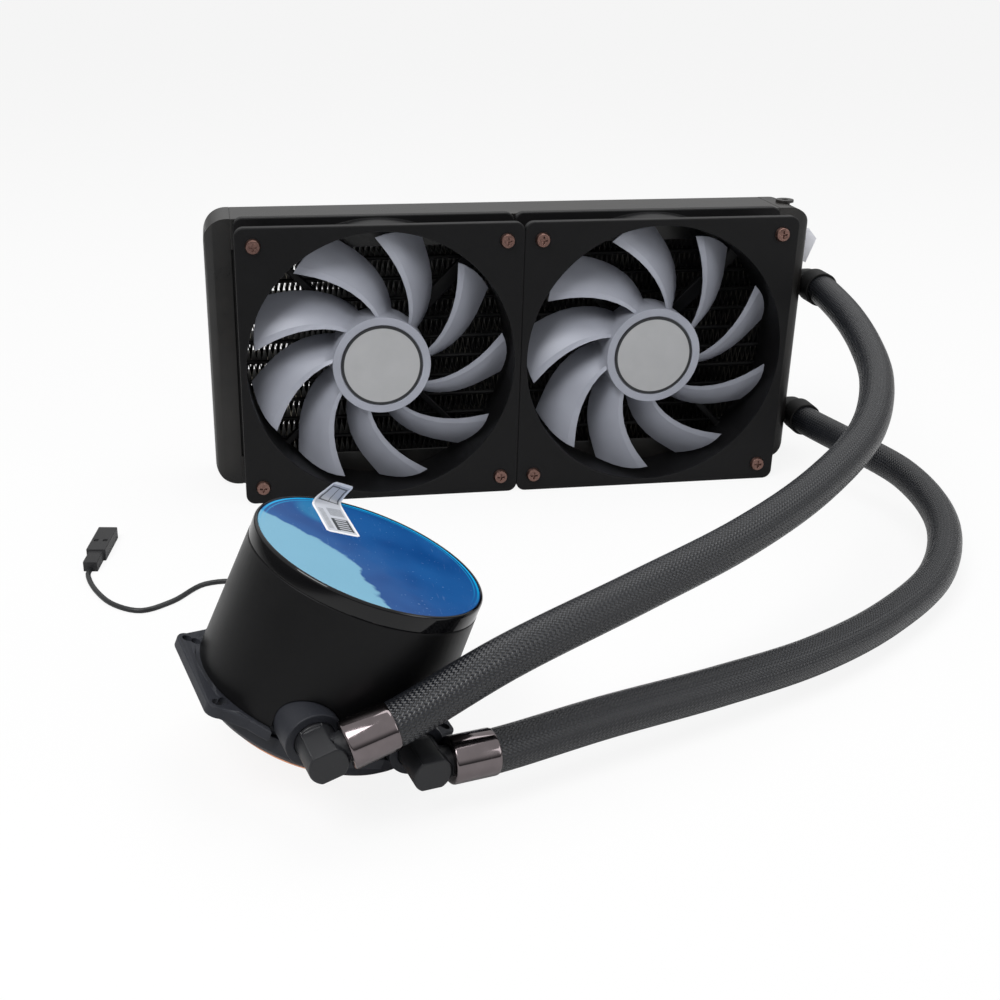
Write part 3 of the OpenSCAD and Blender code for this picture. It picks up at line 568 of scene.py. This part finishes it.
@dataclass(frozen=True)
class Board:
    """Green board with a hint of tracks."""

    name: str

    def paint(self) -> bpy.types.Material:
        """Builds the material."""
        r = Recipe(self.name)
        x, _, z = r.axes()
        track = abs(((x + z) * 2600).sine()).ease(0.8, 0.95) * r.noise(4 * MM, 1.0).ease(0.45, 0.5)
        return r.surface({
            "Base Color": r.mix(track, (0.01, 0.07, 0.03), (0.03, 0.16, 0.07)),
            "Roughness": 0.35 + track * 0.1,
            "Normal": r.bump(track, 0.03 * MM)})


@dataclass(frozen=True)
class Winding:
    """Enamelled copper wire, turn beside turn, with painted shade in the grooves between turns and a
    painted highlight along each turn.
    """

    name: str

    def paint(self) -> bpy.types.Material:
        """Builds the material."""
        r = Recipe(self.name)
        _, y, z = r.axes()
        # Colour runs from dark copper in the grooves to bright copper on each turn: painted shade and
        # painted highlight.
        turns = abs(((y + z * 0.3) * 9000).sine())
        return r.surface({
            "Base Color": r.mix(turns, (0.2, 0.07, 0.03), (0.62, 0.26, 0.12)),
            "Metallic": 0.8,
            "Roughness": 0.5 - turns * 0.2,
            "Normal": r.bump(turns, 0.1 * MM)})


# Mesh building


def copied(node: str) -> bmesh.types.BMesh:
    """A merged copy of a solid's mesh, ready to be worked on.

    Args:
        node: The solid's name.

    Returns:
        The mesh, with its flat faces joined up.
    """
    bm = bmesh.new()
    bm.from_mesh(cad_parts[node].data)
    bmesh.ops.remove_doubles(bm, verts=bm.verts[:], dist=WELD)
    bmesh.ops.dissolve_limit(bm, angle_limit=FLAT, verts=bm.verts[:], edges=bm.edges[:])
    return bm


def eased(bm: bmesh.types.BMesh, edge: Edge, hub: Vector | None = None,
          angle: float = 32.0) -> bmesh.types.BMesh:
    """Rounds the sharp edges of a mesh.

    Args:
        bm: The mesh.
        edge: How far.
        hub: The centre of a fan wheel, whose thin blades stay as they are.
        angle: Edges that turn by more degrees than this are rounded.

    Returns:
        The same mesh.
    """
    if edge is Edge.CRISP:
        return bm
    sharp = [e for e in bm.edges if e.is_manifold and e.calc_face_angle(0.0) > math.radians(angle)
             and e.calc_length() > SHORT_RIM]
    if hub is not None:
        sharp = [e for e in sharp if e.is_convex
                 and all(math.hypot(v.co.x - hub.x, v.co.z - hub.z) < HUB_REACH for v in e.verts)]
    bmesh.ops.bevel(bm, geom=sharp, offset=edge.value, offset_type="OFFSET", segments=2, profile=0.5,
                    affect="EDGES", clamp_overlap=False, material=-1)
    return bm


def turned(profile: Sequence[tuple[float, float]], steps: int = 64) -> bmesh.types.BMesh:
    """Spins a closed profile of (radius, height) in millimetres about the upright axis.

    Args:
        profile: The corners of the profile, in order.
        steps: How many faces go round.

    Returns:
        The turned mesh.
    """
    bm = bmesh.new()
    corners = [bm.verts.new((r * MM, 0, h * MM)) for r, h in profile]
    edges = [bm.edges.new((a, b)) for a, b in zip(corners, corners[1:] + corners[:1])]
    bmesh.ops.spin(bm, geom=corners + edges, axis=(0, 0, 1), cent=(0, 0, 0), steps=steps,
                   angle=math.tau, use_merge=True, use_duplicate=False)
    bmesh.ops.remove_doubles(bm, verts=bm.verts[:], dist=1e-6)
    bmesh.ops.recalc_face_normals(bm, faces=bm.faces[:])
    return bm


def flowing(points: Sequence[Vector], step: float, floor: float = 0.0) -> list[Vector]:
    """Points along a smooth curve through the given ones, close together.

    Args:
        points: The route.
        step: How far apart the new points are, about.
        floor: No point goes below this height.

    Returns:
        The points.
    """
    pts = [points[0] * 2 - points[1], *points, points[-1] * 2 - points[-2]]
    line: list[Vector] = []
    for a, b, c, d in zip(pts, pts[1:], pts[2:], pts[3:]):
        t1 = (b - a).length ** 0.5
        t2 = t1 + (c - b).length ** 0.5
        t3 = t2 + (d - c).length ** 0.5
        count = max(1, round((c - b).length / step))
        for k in range(count):
            t = t1 + (t2 - t1) * k / count
            share = (t - t1) / (t2 - t1)
            ab = a.lerp(b, t / t1)
            bc = b.lerp(c, share)
            cd = c.lerp(d, (t - t2) / (t3 - t2))
            line.append(ab.lerp(bc, t / t2).lerp(bc.lerp(cd, (t - t1) / (t3 - t1)), share))
    line.append(points[-1].copy())
    for p in line:
        p.z = max(p.z, floor)
    return line


def length_of(line: Sequence[Vector]) -> float:
    """Length of a line of points."""
    return sum((b - a).length for a, b in zip(line, line[1:]))


def tube(line: Sequence[Vector], radius: float, sides: int) -> bmesh.types.BMesh:
    """A round tube along a line, drawn out ring by ring, with a map of turn and length.

    Args:
        line: The points that it follows.
        radius: Its radius in metres.
        sides: How many sides it has.

    Returns:
        The tube, closed at both ends.
    """
    bm = bmesh.new()
    layer = bm.loops.layers.uv.new("weave")
    last = len(line) - 1
    heading = [(line[min(i + 1, last)] - line[max(i - 1, 0)]).normalized() for i in range(len(line))]
    ring = list(bmesh.ops.create_circle(bm, cap_ends=False, radius=radius, segments=sides)["verts"])
    start = Matrix.Translation(line[0]) @ heading[0].to_track_quat("Z", "Y").to_matrix().to_4x4()
    bmesh.ops.transform(bm, matrix=start, verts=ring)
    first, run = list(ring), 0.0
    for i in range(1, len(line)):
        edges = [bm.edges.get((ring[k], ring[(k + 1) % sides])) for k in range(sides)]
        made = bmesh.ops.extrude_edge_only(bm, edges=edges)["geom"]
        fresh = {v for v in made if isinstance(v, bmesh.types.BMVert)}
        upper = [next(e.other_vert(v) for e in v.link_edges if e.other_vert(v) in fresh) for v in ring]
        swing = heading[i - 1].rotation_difference(heading[i]).to_matrix().to_4x4()
        move = Matrix.Translation(line[i]) @ swing @ Matrix.Translation(-line[i - 1])
        bmesh.ops.transform(bm, matrix=move, verts=upper)
        further = run + (line[i] - line[i - 1]).length / (math.tau * radius)
        low, high = {v: k for k, v in enumerate(ring)}, {v: k for k, v in enumerate(upper)}
        for face in (f for f in made if isinstance(f, bmesh.types.BMFace)):
            places = [low.get(loop.vert, high.get(loop.vert)) for loop in face.loops]
            wraps = max(places) - min(places) > 1
            for loop, k in zip(face.loops, places):
                turn = sides if wraps and k == 0 else k
                loop[layer].uv = (turn / sides, run if loop.vert in low else further)
        ring, run = upper, further
    bm.faces.new(first)
    bm.faces.new(ring)
    bmesh.ops.recalc_face_normals(bm, faces=bm.faces[:])
    return bm


@dataclass
class Bench:
    """Turns meshes into dressed pieces and keeps one material for each finish."""

    paints: dict = field(default_factory=dict)

    def paint(self, finish: object) -> bpy.types.Material:
        """The material of a finish, built once."""
        if finish not in self.paints:
            self.paints[finish] = finish.paint()
        return self.paints[finish]

    def place(self, bm: bmesh.types.BMesh, name: str, finish: object,
              body: Body | None = Body.COOLER, stands_for: Iterable[str] = (),
              smooth: float = 20.0) -> bpy.types.Object:
        """Makes a piece of a mesh.

        Args:
            bm: The mesh, in the row frame.
            name: The piece's name.
            finish: What it is finished with.
            body: The body it rides on, or None where it runs between two.
            stands_for: The solids that it replaces.
            smooth: Faces that meet at fewer degrees than this are shaded as one.

        Returns:
            The piece.
        """
        mesh = bpy.data.meshes.new(name)
        for face in bm.faces:
            face.smooth = True
        bm.to_mesh(mesh)
        bm.free()
        mesh.set_sharp_from_angle(angle=math.radians(smooth))
        mesh.materials.append(self.paint(finish))
        piece = bpy.data.objects.new(name, mesh)
        bpy.context.scene.collection.objects.link(piece)
        if body is not None:
            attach(piece, body.value)
        if stands_for:
            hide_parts(*stands_for)
        LOG.info("%s: %d faces", name, len(mesh.polygons))
        return piece

    def refine(self, node: str, finish: object, body: Body = Body.COOLER,
               edge: Edge = Edge.SOFT, cuts: Sequence[tuple[Vector, Vector]] = (),
               hub: Vector | None = None) -> bpy.types.Object:
        """Replaces a solid by a copy of itself with rounded edges.

        Args:
            node: The solid's name.
            finish: What it is finished with.
            body: The body it rides on.
            edge: How far its edges are rounded.
            cuts: Planes (point and direction) that divide its faces, so that they shade evenly.
            hub: The centre of a wheel of which only the hub is rounded.

        Returns:
            The piece.
        """
        low, high = (Vector(c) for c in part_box(node))
        bm = eased(copied(node), edge, hub)
        for point, direction in cuts:
            bmesh.ops.bisect_plane(bm, geom=bm.verts[:] + bm.edges[:] + bm.faces[:], dist=1e-6,
                                   plane_co=point, plane_no=direction)
        grown = max(max(v.co[i] - high[i], low[i] - v.co[i]) for v in bm.verts for i in range(3))
        if grown > GROWTH:
            LOG.warning("%s grew by %.2f mm", node, grown / MM)
        return self.place(bm, f"{node}_dressed", finish, body, [node])

    def dress(self, finish: object, *nodes: str) -> None:
        """Gives solids that keep their own mesh a finish.

        Args:
            finish: The finish.
            nodes: The solids' names.
        """
        for node in nodes:
            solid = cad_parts[node]
            if not solid.material_slots:
                solid.data.materials.append(None)
            for slot in solid.material_slots:
                slot.material = self.paint(finish)


FRAME_BLACK = Moulded("frame_black", (0.0045, 0.0045, 0.005), 0.46, 0.18)
BODY_BLACK = Moulded("pump_body_black", (0.003, 0.003, 0.0034), 0.38, 0.16, grain=0.28 * MM)
BEZEL_BLACK = Moulded("bezel_gloss_black", (0.002, 0.002, 0.0025), 0.08, 0.3, depth=0.001 * MM,
                      mottle=0.05)
BRACKET_BLACK = Moulded("bracket_blue_black", (0.019, 0.0205, 0.026), 0.5, 0.24)
ELBOW_BLACK = Moulded("elbow_grey_black", (0.014, 0.0145, 0.0165), 0.42, 0.28)
RUBBER_BLACK = Moulded("rubber_black", (0.007, 0.007, 0.007), 0.6, 0.2)
CABLE_BLACK = Moulded("cable_black", (0.012, 0.013, 0.014), 0.4, 0.35)
PLUG_BLACK = Moulded("plug_black", (0.022, 0.022, 0.023), 0.5, 0.25)
MILKY = Moulded("diffuser_milky", (0.75, 0.75, 0.76), 0.4, 0.4, mottle=0.04)
IVORY = Moulded("impeller_ivory", (0.68, 0.66, 0.58), 0.4, 0.4, mottle=0.06)
CERAMIC = Moulded("pin_ceramic", (0.85, 0.85, 0.82), 0.15, 0.5, mottle=0.03)
LABEL_WHITE = Moulded("label_white", (0.86, 0.87, 0.93), 0.45, 0.3, depth=0.004 * MM, mottle=0.06)
RADIATOR_BLACK = Painted("radiator_black", (0.0055, 0.0055, 0.0055), 0.3, 0.45, (0.016, 0.0145, 0.0135))
TUBE_BLACK = Painted("tube_black", (0.007, 0.007, 0.0075), 0.5, 0.2, (0.012, 0.012, 0.012))
BLADE_SILVER = BladeSatin("blade_silver", (0.33, 0.345, 0.4))
FERRULE_CHROME = DarkChrome("ferrule_smoked", (0.15, 0.13, 0.134))
SCREW_BRONZE = BareMetal("screw_bronze", (0.22, 0.13, 0.11), 0.32)
MAGNET_GREY = BareMetal("magnet_grey", (0.06, 0.06, 0.065), 0.6)
STEEL = BareMetal("steel_ground", (0.55, 0.55, 0.57), 0.25)
BEARING_BRONZE = BareMetal("bearing_bronze", (0.5, 0.36, 0.2), 0.35)
COPPER = BareMetal("copper_milled", (0.72, 0.33, 0.19), 0.28, 0.08 * MM)


@dataclass
class Radiator:
    """The radiator with its tanks, rails, fins and fittings."""

    core_width: float = 239 * MM
    core_depth: float = 18 * MM
    height: float = 119 * MM
    sheet: float = 1.2 * MM
    rows: int = 13
    tube: float = 1.8 * MM
    fold: float = 2.4 * MM
    gap: float = 0.1 * MM
    foil: float = 0.12 * MM

    def fins(self) -> bmesh.types.BMesh:
        """The folded strips between the tubes, fold by fold."""
        bm = bmesh.new()
        pitch = (self.height - 2 * self.sheet) / self.rows
        folds = round(self.core_width / self.fold) * 2
        front = -self.core_depth / 2 + self.gap
        for row in range(self.rows):
            low = self.sheet + row * pitch + (0 if row == 0 else self.tube / 2)
            high = self.sheet + (row + 1) * pitch - (0 if row == self.rows - 1 else self.tube / 2)
            span = [low + self.gap, high - self.gap]
            line = [bm.verts.new(((k / folds - 0.5) * self.core_width, front, span[k % 2]))
                    for k in range(folds + 1)]
            for a, b in zip(line, line[1:]):
                bm.edges.new((a, b))
        made = bmesh.ops.extrude_edge_only(bm, edges=bm.edges[:])["geom"]
        far = [v for v in made if isinstance(v, bmesh.types.BMVert)]
        bmesh.ops.translate(bm, verts=far, vec=(0, self.core_depth - 2 * self.gap, 0))
        bmesh.ops.solidify(bm, geom=bm.faces[:], thickness=self.foil)
        bmesh.ops.recalc_face_normals(bm, faces=bm.faces[:])
        return bm

    def build(self, bench: Bench) -> None:
        """Builds and dresses the radiator."""
        bench.place(self.fins(), "fin_strips", FinStock("fin_strip_dark"),
                    stands_for=["core_fins"])
        for node, edge in (("tank_left", Edge.CRISP), ("tank_right", Edge.CRISP), ("rail_top", Edge.SOFT),
                           ("rail_bottom", Edge.SOFT), ("fill_plug", Edge.FINE)):
            bench.refine(node, RADIATOR_BLACK, edge=edge)
        bench.refine("tank_fittings", FRAME_BLACK, edge=Edge.CRISP)
        bench.refine("hose_collars", RUBBER_BLACK, edge=Edge.SOFT)
        bench.refine("tank_label", LABEL_WHITE, edge=Edge.CRISP)
        bench.dress(TUBE_BLACK, "core_tubes", "header_plates")


@dataclass
class Fan:
    """One axial fan: frame, wheel, cap and the works behind the hub."""

    side: str
    wheel: Body

    def build(self, bench: Bench) -> None:
        """Builds and dresses the fan."""
        name = f"fan_{self.side}_"
        bench.refine(name + "frame", FRAME_BLACK, edge=Edge.ROUND)
        low, high = (Vector(c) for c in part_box(name + "cap"))
        hub = (low + high) / 2
        bench.refine(name + "rotor", BLADE_SILVER, self.wheel, Edge.FINE, hub=hub)
        disc = CapDisc(f"hub_disc_{self.side}", tuple(hub))
        bench.refine(name + "cap", disc, self.wheel, Edge.FINE)
        works = {"stator": Winding("coil_copper"), "board": Board("driver_board"),
                 "bearing": BEARING_BRONZE, "magnet": MAGNET_GREY, "shaft": STEEL, "clip": IVORY}
        for part, finish in works.items():
            bench.dress(finish, name + part)


@dataclass
class PumpBlock:
    """The pump block as it lies, tipped on the edge of its cold plate."""

    lean: float = 21.3
    spin: float = 15.5
    at: Triple = (-108.0, -233.0, 28 * math.sin(math.radians(21.3)))
    top: float = 57.8
    foot_radius: float = 37.0
    grommet_angle: float = 98.0
    grommet_height: float = 20.0
    shade_bands: Sequence[float] = (26, 28, 35, 42, 49)

    def matrix(self) -> Matrix:
        """The pump's own frame, in metres."""
        return (Matrix.Translation(Vector(self.at) * MM)
                @ Matrix.Rotation(math.radians(self.lean), 4, "Y")
                @ Matrix.Rotation(math.radians(self.spin), 4, "Z"))

    def point(self, x: float, y: float, z: float) -> Vector:
        """A point of the pump's own frame, given in millimetres.

        Args:
            x: Across, towards the lower port.
            y: Away from the ports.
            z: Up the pump's axis.

        Returns:
            The point in the row frame, in metres.
        """
        return self.matrix() @ (Vector((x, y, z)) * MM)

    def grommet_matrix(self) -> Matrix:
        """The frame of the cable's grommet, with its axis outwards."""
        return (self.matrix() @ Matrix.Rotation(math.radians(self.grommet_angle), 4, "Z")
                @ Matrix.Translation(Vector((self.foot_radius - 0.3, 0, self.grommet_height)) * MM)
                @ Matrix.Rotation(math.pi / 2, 4, "Y"))

    def tab(self) -> bmesh.types.BMesh:
        """The pull tab: its lower part lies on the film, its upper part stands up from the fold."""
        left = [(-10.3, 10.6, 0.0), (-9.7, 17.0, 0.0), (-9.1, 23.0, 0.0), (-8.7, 28.4, 0.0),
                (-8.5, 29.5, 0.3), (-8.0, 29.8, 2.0), (-5.3, 30.7, 4.9), (-2.6, 31.7, 7.6)]
        right = [(0.8, 10.3, 0.0), (1.4, 18.0, 0.0), (2.0, 25.5, 0.0), (2.8, 32.4, 0.0),
                 (3.0, 33.6, 0.3), (3.5, 33.8, 2.0), (4.6, 34.2, 4.0), (5.9, 34.6, 6.0)]
        rows, columns = 40, 10
        above_film, thickness = 0.1, 0.12
        edges = [flowing([Vector(p) for p in side], 0.25, -1.0) for side in (left, right)]
        bm = bmesh.new()
        bmesh.ops.create_grid(bm, x_segments=columns, y_segments=rows, size=0.5, calc_uvs=False)
        layer = bm.loops.layers.uv.new("print")
        spots = {v: (v.co.x + 0.5, v.co.y + 0.5) for v in bm.verts}
        for v, (u, t) in spots.items():
            a, b = (edge[round(t * (len(edge) - 1))] for edge in edges)
            ends = min(1.0, (1 - abs(2 * t - 1)) / 0.06)
            narrow = 0.82 + 0.18 * math.sqrt(1 - (1 - ends) ** 2)
            v.co = a.lerp(b, 0.5 + (u - 0.5) * narrow) + Vector((0, 0, self.top + above_film))
        for face in bm.faces:
            for loop in face.loops:
                loop[layer].uv = spots[loop.vert]
        bmesh.ops.solidify(bm, geom=bm.faces[:], thickness=thickness)
        bmesh.ops.transform(bm, matrix=self.matrix() @ Matrix.Scale(MM, 4), verts=bm.verts[:])
        bmesh.ops.recalc_face_normals(bm, faces=bm.faces[:])
        return bm

    def grommet(self) -> bmesh.types.BMesh:
        """The rubber grommet with its tapered relief round the cable."""
        profile = [(1.0, -3.5), (3.6, -3.5), (3.6, 0.0), (4.6, 0.0), (5.0, 0.3), (5.0, 1.0), (4.6, 1.45),
                   (3.4, 1.6), (2.6, 2.0), (2.3, 3.2), (2.6, 3.4), (2.6, 4.2), (2.1, 4.4), (1.95, 5.6),
                   (2.2, 5.8), (2.2, 6.6), (1.7, 6.8), (1.4, 9.0), (1.0, 9.4)]
        bm = turned(profile, 32)
        bmesh.ops.transform(bm, matrix=self.grommet_matrix(), verts=bm.verts[:])
        return bm

    def build(self, bench: Bench) -> None:
        """Builds and dresses the pump block."""
        up = self.matrix().to_3x3() @ Vector((0, 0, 1))
        bands = [(self.point(0, 0, z), up) for z in self.shade_bands]
        bench.refine("pump_body", BODY_BLACK, edge=Edge.SOFT, cuts=bands)
        bench.refine("pump_bezel", BEZEL_BLACK, edge=Edge.SOFT)
        bench.refine("pump_base", BRACKET_BLACK, edge=Edge.SOFT)
        bench.refine("mounting_bracket", BRACKET_BLACK, edge=Edge.ROUND)
        bench.refine("cold_plate", COPPER, edge=Edge.FINE)
        film = FilmedMirror("film_on_mirror", tuple(tuple(row) for row in self.matrix()))
        bench.dress(film, "blue_film", "mirror_disc")
        bench.place(self.tab(), "film_tab_sheet", TabPrint("tab_print"),
                    stands_for=["film_tab"])
        bench.place(self.grommet(), "cable_relief", RUBBER_BLACK,
                    stands_for=["cable_grommet"])
        works = {"light_ring": MILKY, "control_board": Board("pump_board"),
                 "pump_stator": Winding("pump_coil"), "chamber_plate": BODY_BLACK, "impeller": IVORY,
                 "impeller_magnet": MAGNET_GREY, "impeller_shaft": CERAMIC, "plate_gasket": RUBBER_BLACK,
                 "plate_screws": STEEL}
        for node, finish in works.items():
            bench.dress(finish, node)


@dataclass
class HoseRun:
    """One swivel elbow, its ferrule and the sleeved hose to the radiator."""

    pump: PumpBlock
    level: str
    body: Body
    side: int
    rise: float
    route: Sequence[Triple]
    fitting_z: float
    port_half: float = 16.3
    port_z: float = 17.0
    outlet_y: float = 44.65
    hose_from: float = 12.0
    clear: float = 21.5
    diameter: float = 13 * MM
    swing_over: float = 120 * MM

    def outlet(self) -> Matrix:
        """The outlet's frame: its first axis runs out along the hose."""
        port = Matrix.Translation(Vector((self.side * self.port_half, 0, self.port_z)) * MM)
        reach = Matrix.Translation(Vector((0, 0, self.outlet_y)) * MM)
        return (self.pump.matrix() @ port @ Matrix.Rotation(math.pi / 2, 4, "X") @ reach
                @ Matrix.Rotation(math.radians(self.rise), 4, "Z"))

    def line(self) -> list[Vector]:
        """The middle line of the hose, from the elbow's nipple to the radiator's barb."""
        start, free = (self.outlet() @ Vector((d * MM, 0, 0)) for d in (self.hose_from, self.clear))
        end, mouth = (Vector((144, y, self.fitting_z)) * MM for y in (-11, -17.5))
        return flowing([start, free, *(Vector(p) * MM for p in self.route), mouth, end], 4 * MM)

    def ferrule(self) -> bmesh.types.BMesh:
        """The bright ferrule with its rolled lips."""
        profile = [(4.6, 6.5), (6.2, 6.5), (6.6, 6.62), (6.85, 6.9), (6.95, 7.3), (6.95, 19.6),
                   (6.9, 20.1), (6.75, 20.4), (6.6, 20.5), (6.55, 20.3), (6.55, 7.7), (4.6, 7.7)]
        bm = turned(profile, 72)
        lying = self.outlet() @ Matrix.Rotation(math.pi / 2, 4, "Y")
        bmesh.ops.transform(bm, matrix=lying, verts=bm.verts[:])
        return bm

    def build(self, bench: Bench) -> None:
        """Builds and dresses the elbow, ferrule and hose."""
        bench.refine(f"elbow_{self.level}", ELBOW_BLACK, self.body, Edge.ROUND)
        bench.dress(RUBBER_BLACK, f"elbow_seal_{self.level}")
        bench.place(self.ferrule(), f"ferrule_{self.level}_turned", FERRULE_CHROME,
                    self.body, [f"ferrule_{self.level}"], smooth=40.0)
        line = self.line()
        hose = bench.place(tube(line, self.diameter / 2, 32), f"hose_{self.level}_braided",
                           Braid("sleeve_braid_weave"), None, [f"hose_{self.level}"],
                           smooth=40.0)
        near = min(line, key=lambda p: abs((p - line[0]).length - self.swing_over))
        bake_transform(hose)
        round(length_of(line), 3)


@dataclass
class ControlCable:
    """The thin cable that leaves the back of the pump and ends in a small plug on the floor."""

    pump: PumpBlock
    radius: float = 1.0 * MM
    plug_at: Triple = (-182.0, -98.0, 0.0)
    plug_turn: float = -9.0
    route: Sequence[Triple] = (
        (-112, -182, 22), (-113, -170, 8), (-115, -158, 1), (-119, -135, 1), (-126, -117, 1),
        (-138, -117, 1), (-150, -130, 1), (-161, -136, 1), (-171, -130, 1), (-179, -116, 1))

    def line(self) -> list[Vector]:
        """The cable's middle line."""
        out = self.pump.grommet_matrix()
        ends = [out @ Vector((0, 0, d * MM)) for d in (1.5, 6.5)]
        turn = (Matrix.Translation(Vector(self.plug_at) * MM)
                @ Matrix.Rotation(math.radians(self.plug_turn), 4, "Z"))
        boot = [turn @ (Vector((0, y, 1)) * MM) for y in (-4, 0)]
        return flowing([*ends, *(Vector(p) * MM for p in self.route), *boot], 2.5 * MM, self.radius)

    def build(self, bench: Bench) -> None:
        """Builds and dresses the cable and its plug."""
        line = self.line()
        plug = bench.refine("pump_plug", PLUG_BLACK, edge=Edge.SOFT)
        cable = bench.place(tube(line, self.radius, 16), "cable_round", CABLE_BLACK,
                            stands_for=["pump_cable"], smooth=40.0)
        round(length_of(line), 3)


@dataclass
class Lamp:
    """One soft lamp that looks at the middle of the object."""

    name: str
    at: Triple
    size: float
    power: float
    target: Triple = (0.0, -0.12, 0.05)

    def build(self) -> None:
        """Hangs the lamp."""
        light = bpy.data.lights.new(self.name, "AREA")
        light.shape, light.size, light.energy = "SQUARE", self.size, self.power
        lamp = bpy.data.objects.new(self.name, light)
        aim = Vector(self.target) - Vector(self.at)
        turn = aim.to_track_quat("-Z", "Y").to_matrix().to_4x4()
        lamp.matrix_world = Matrix.Translation(self.at) @ turn
        bpy.context.scene.collection.objects.link(lamp)


@dataclass
class Studio:
    """Camera, lamps, white surroundings and a pale floor."""

    camera_at: Triple = (-0.125024, -0.585922, 0.229364)
    camera_turn: Triple = (1.158097, -0.009992, -0.157392)
    lens: float = 48.507
    shift: tuple[float, float] = (0.06246, 0.02248)
    fill: float = 0.3
    mirrored_low: float = 0.14
    mirrored_rise: float = 0.8
    floor_glow: float = 0.88
    lamps: Sequence[Lamp] = (
        Lamp("key_lamp", (-0.55, -0.65, 1.0), 0.55, 9.0),
        Lamp("top_lamp", (0.2, 0.1, 1.15), 0.8, 5.5),
        Lamp("side_lamp", (0.85, -0.75, 0.45), 0.5, 2.2))

    def camera(self) -> None:
        """Sets the camera at the photograph's view."""
        data = bpy.data.cameras.new("photo_camera")
        data.sensor_fit, data.sensor_width, data.lens = "HORIZONTAL", 36.0, self.lens
        data.shift_x, data.shift_y = self.shift
        data.clip_start, data.clip_end = 0.01, 60.0
        camera = bpy.data.objects.new("photo_camera", data)
        camera.location, camera.rotation_euler = self.camera_at, Euler(self.camera_turn)
        bpy.context.scene.collection.objects.link(camera)
        bpy.context.scene.camera = camera

    def surroundings(self) -> None:
        """White to the camera, a soft fill for surfaces, and a bright ceiling in what mirrors show."""
        world = bpy.data.worlds.new("surroundings")
        bpy.context.scene.world = world
        world.use_nodes = True
        tree = Tree(world.node_tree)
        rays = tree.node("ShaderNodeLightPath")
        camera, glossy, through = (Wire(tree, rays.outputs[f"Is {kind} Ray"])
                                   for kind in ("Camera", "Glossy", "Transmission"))
        direct = camera.larger(through)
        way = tree.node("ShaderNodeTexCoord")
        parts = tree.node("ShaderNodeSeparateXYZ", None, {0: way.outputs["Generated"]})
        ceiling = Wire(tree, parts.outputs["Z"]).ease(0.02, 0.45)
        mirrored = ceiling * self.mirrored_rise - (self.fill - self.mirrored_low)
        level = self.fill + direct * (1 - self.fill) + glossy * mirrored
        sky = tree.node("ShaderNodeBackground", None, {"Color": (1.0, 1.0, 1.0, 1.0), "Strength": level})
        tree.node("ShaderNodeOutputWorld", None, {"Surface": sky.outputs[0]})

    def floor(self) -> None:
        """A pale floor that keeps the object's shadow."""
        bm = bmesh.new()
        bmesh.ops.create_grid(bm, x_segments=1, y_segments=1, size=6.0)
        mesh = bpy.data.meshes.new("studio_floor")
        bm.to_mesh(mesh)
        bm.free()
        r = Recipe("floor_white")
        rays = r.node("ShaderNodeLightPath")
        paper = r.node("ShaderNodeBsdfDiffuse", None, {"Color": (0.86, 0.86, 0.86, 1.0)})
        glow = r.node("ShaderNodeEmission", None, {"Color": (1.0, 1.0, 1.0, 1.0), "Strength": 1.0})
        glowing = Wire(r, rays.outputs["Is Camera Ray"]) * self.floor_glow
        mixed = r.node("ShaderNodeMixShader", None, {0: glowing, 1: paper.outputs[0], 2: glow.outputs[0]})
        r.node("ShaderNodeOutputMaterial", None, {"Surface": mixed.outputs[0]})
        mesh.materials.append(r.material)
        floor = bpy.data.objects.new("studio_floor", mesh)
        bpy.context.scene.collection.objects.link(floor)

    def build(self) -> None:
        """Builds the studio."""
        bpy.context.scene.view_settings.view_transform = "Standard"
        self.camera()
        self.surroundings()
        self.floor()
        for lamp in self.lamps:
            lamp.build()


def main() -> None:
    """Builds the studio and every sub-assembly in order."""
    logging.basicConfig(level=logging.INFO, format="%(name)s %(message)s")
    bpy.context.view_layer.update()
    Studio().build()
    bench = Bench()
    pump = PumpBlock()
    HoseRun(pump, "upper", Body.UPPER_ELBOW, -1, 36.0, (
        (-53, -264, 44), (-10, -245, 52), (31, -222, 57), (69, -192, 61), (101, -158, 66),
        (124, -117, 71), (136, -80, 75), (142, -47, 79)), 82.0, swing_over=108 * MM).build(bench)
    HoseRun(pump, "lower", Body.LOWER_ELBOW, 1, 19.0, (
        (-20, -253, 15), (22, -237, 13), (62, -219, 11), (100, -195, 10), (134, -165, 11),
        (156, -126, 14), (161, -84, 17), (151, -46, 19)), 19.5).build(bench)
    ControlCable(pump).build(bench)
    pump.build(bench)
    Radiator().build(bench)
    Fan("left", Body.LEFT_WHEEL).build(bench)
    Fan("right", Body.RIGHT_WHEEL).build(bench)
    bench.refine("fan_screws", SCREW_BRONZE, edge=Edge.FINE)
    bpy.context.view_layer.update()


if __name__ == "__main__":
    main()
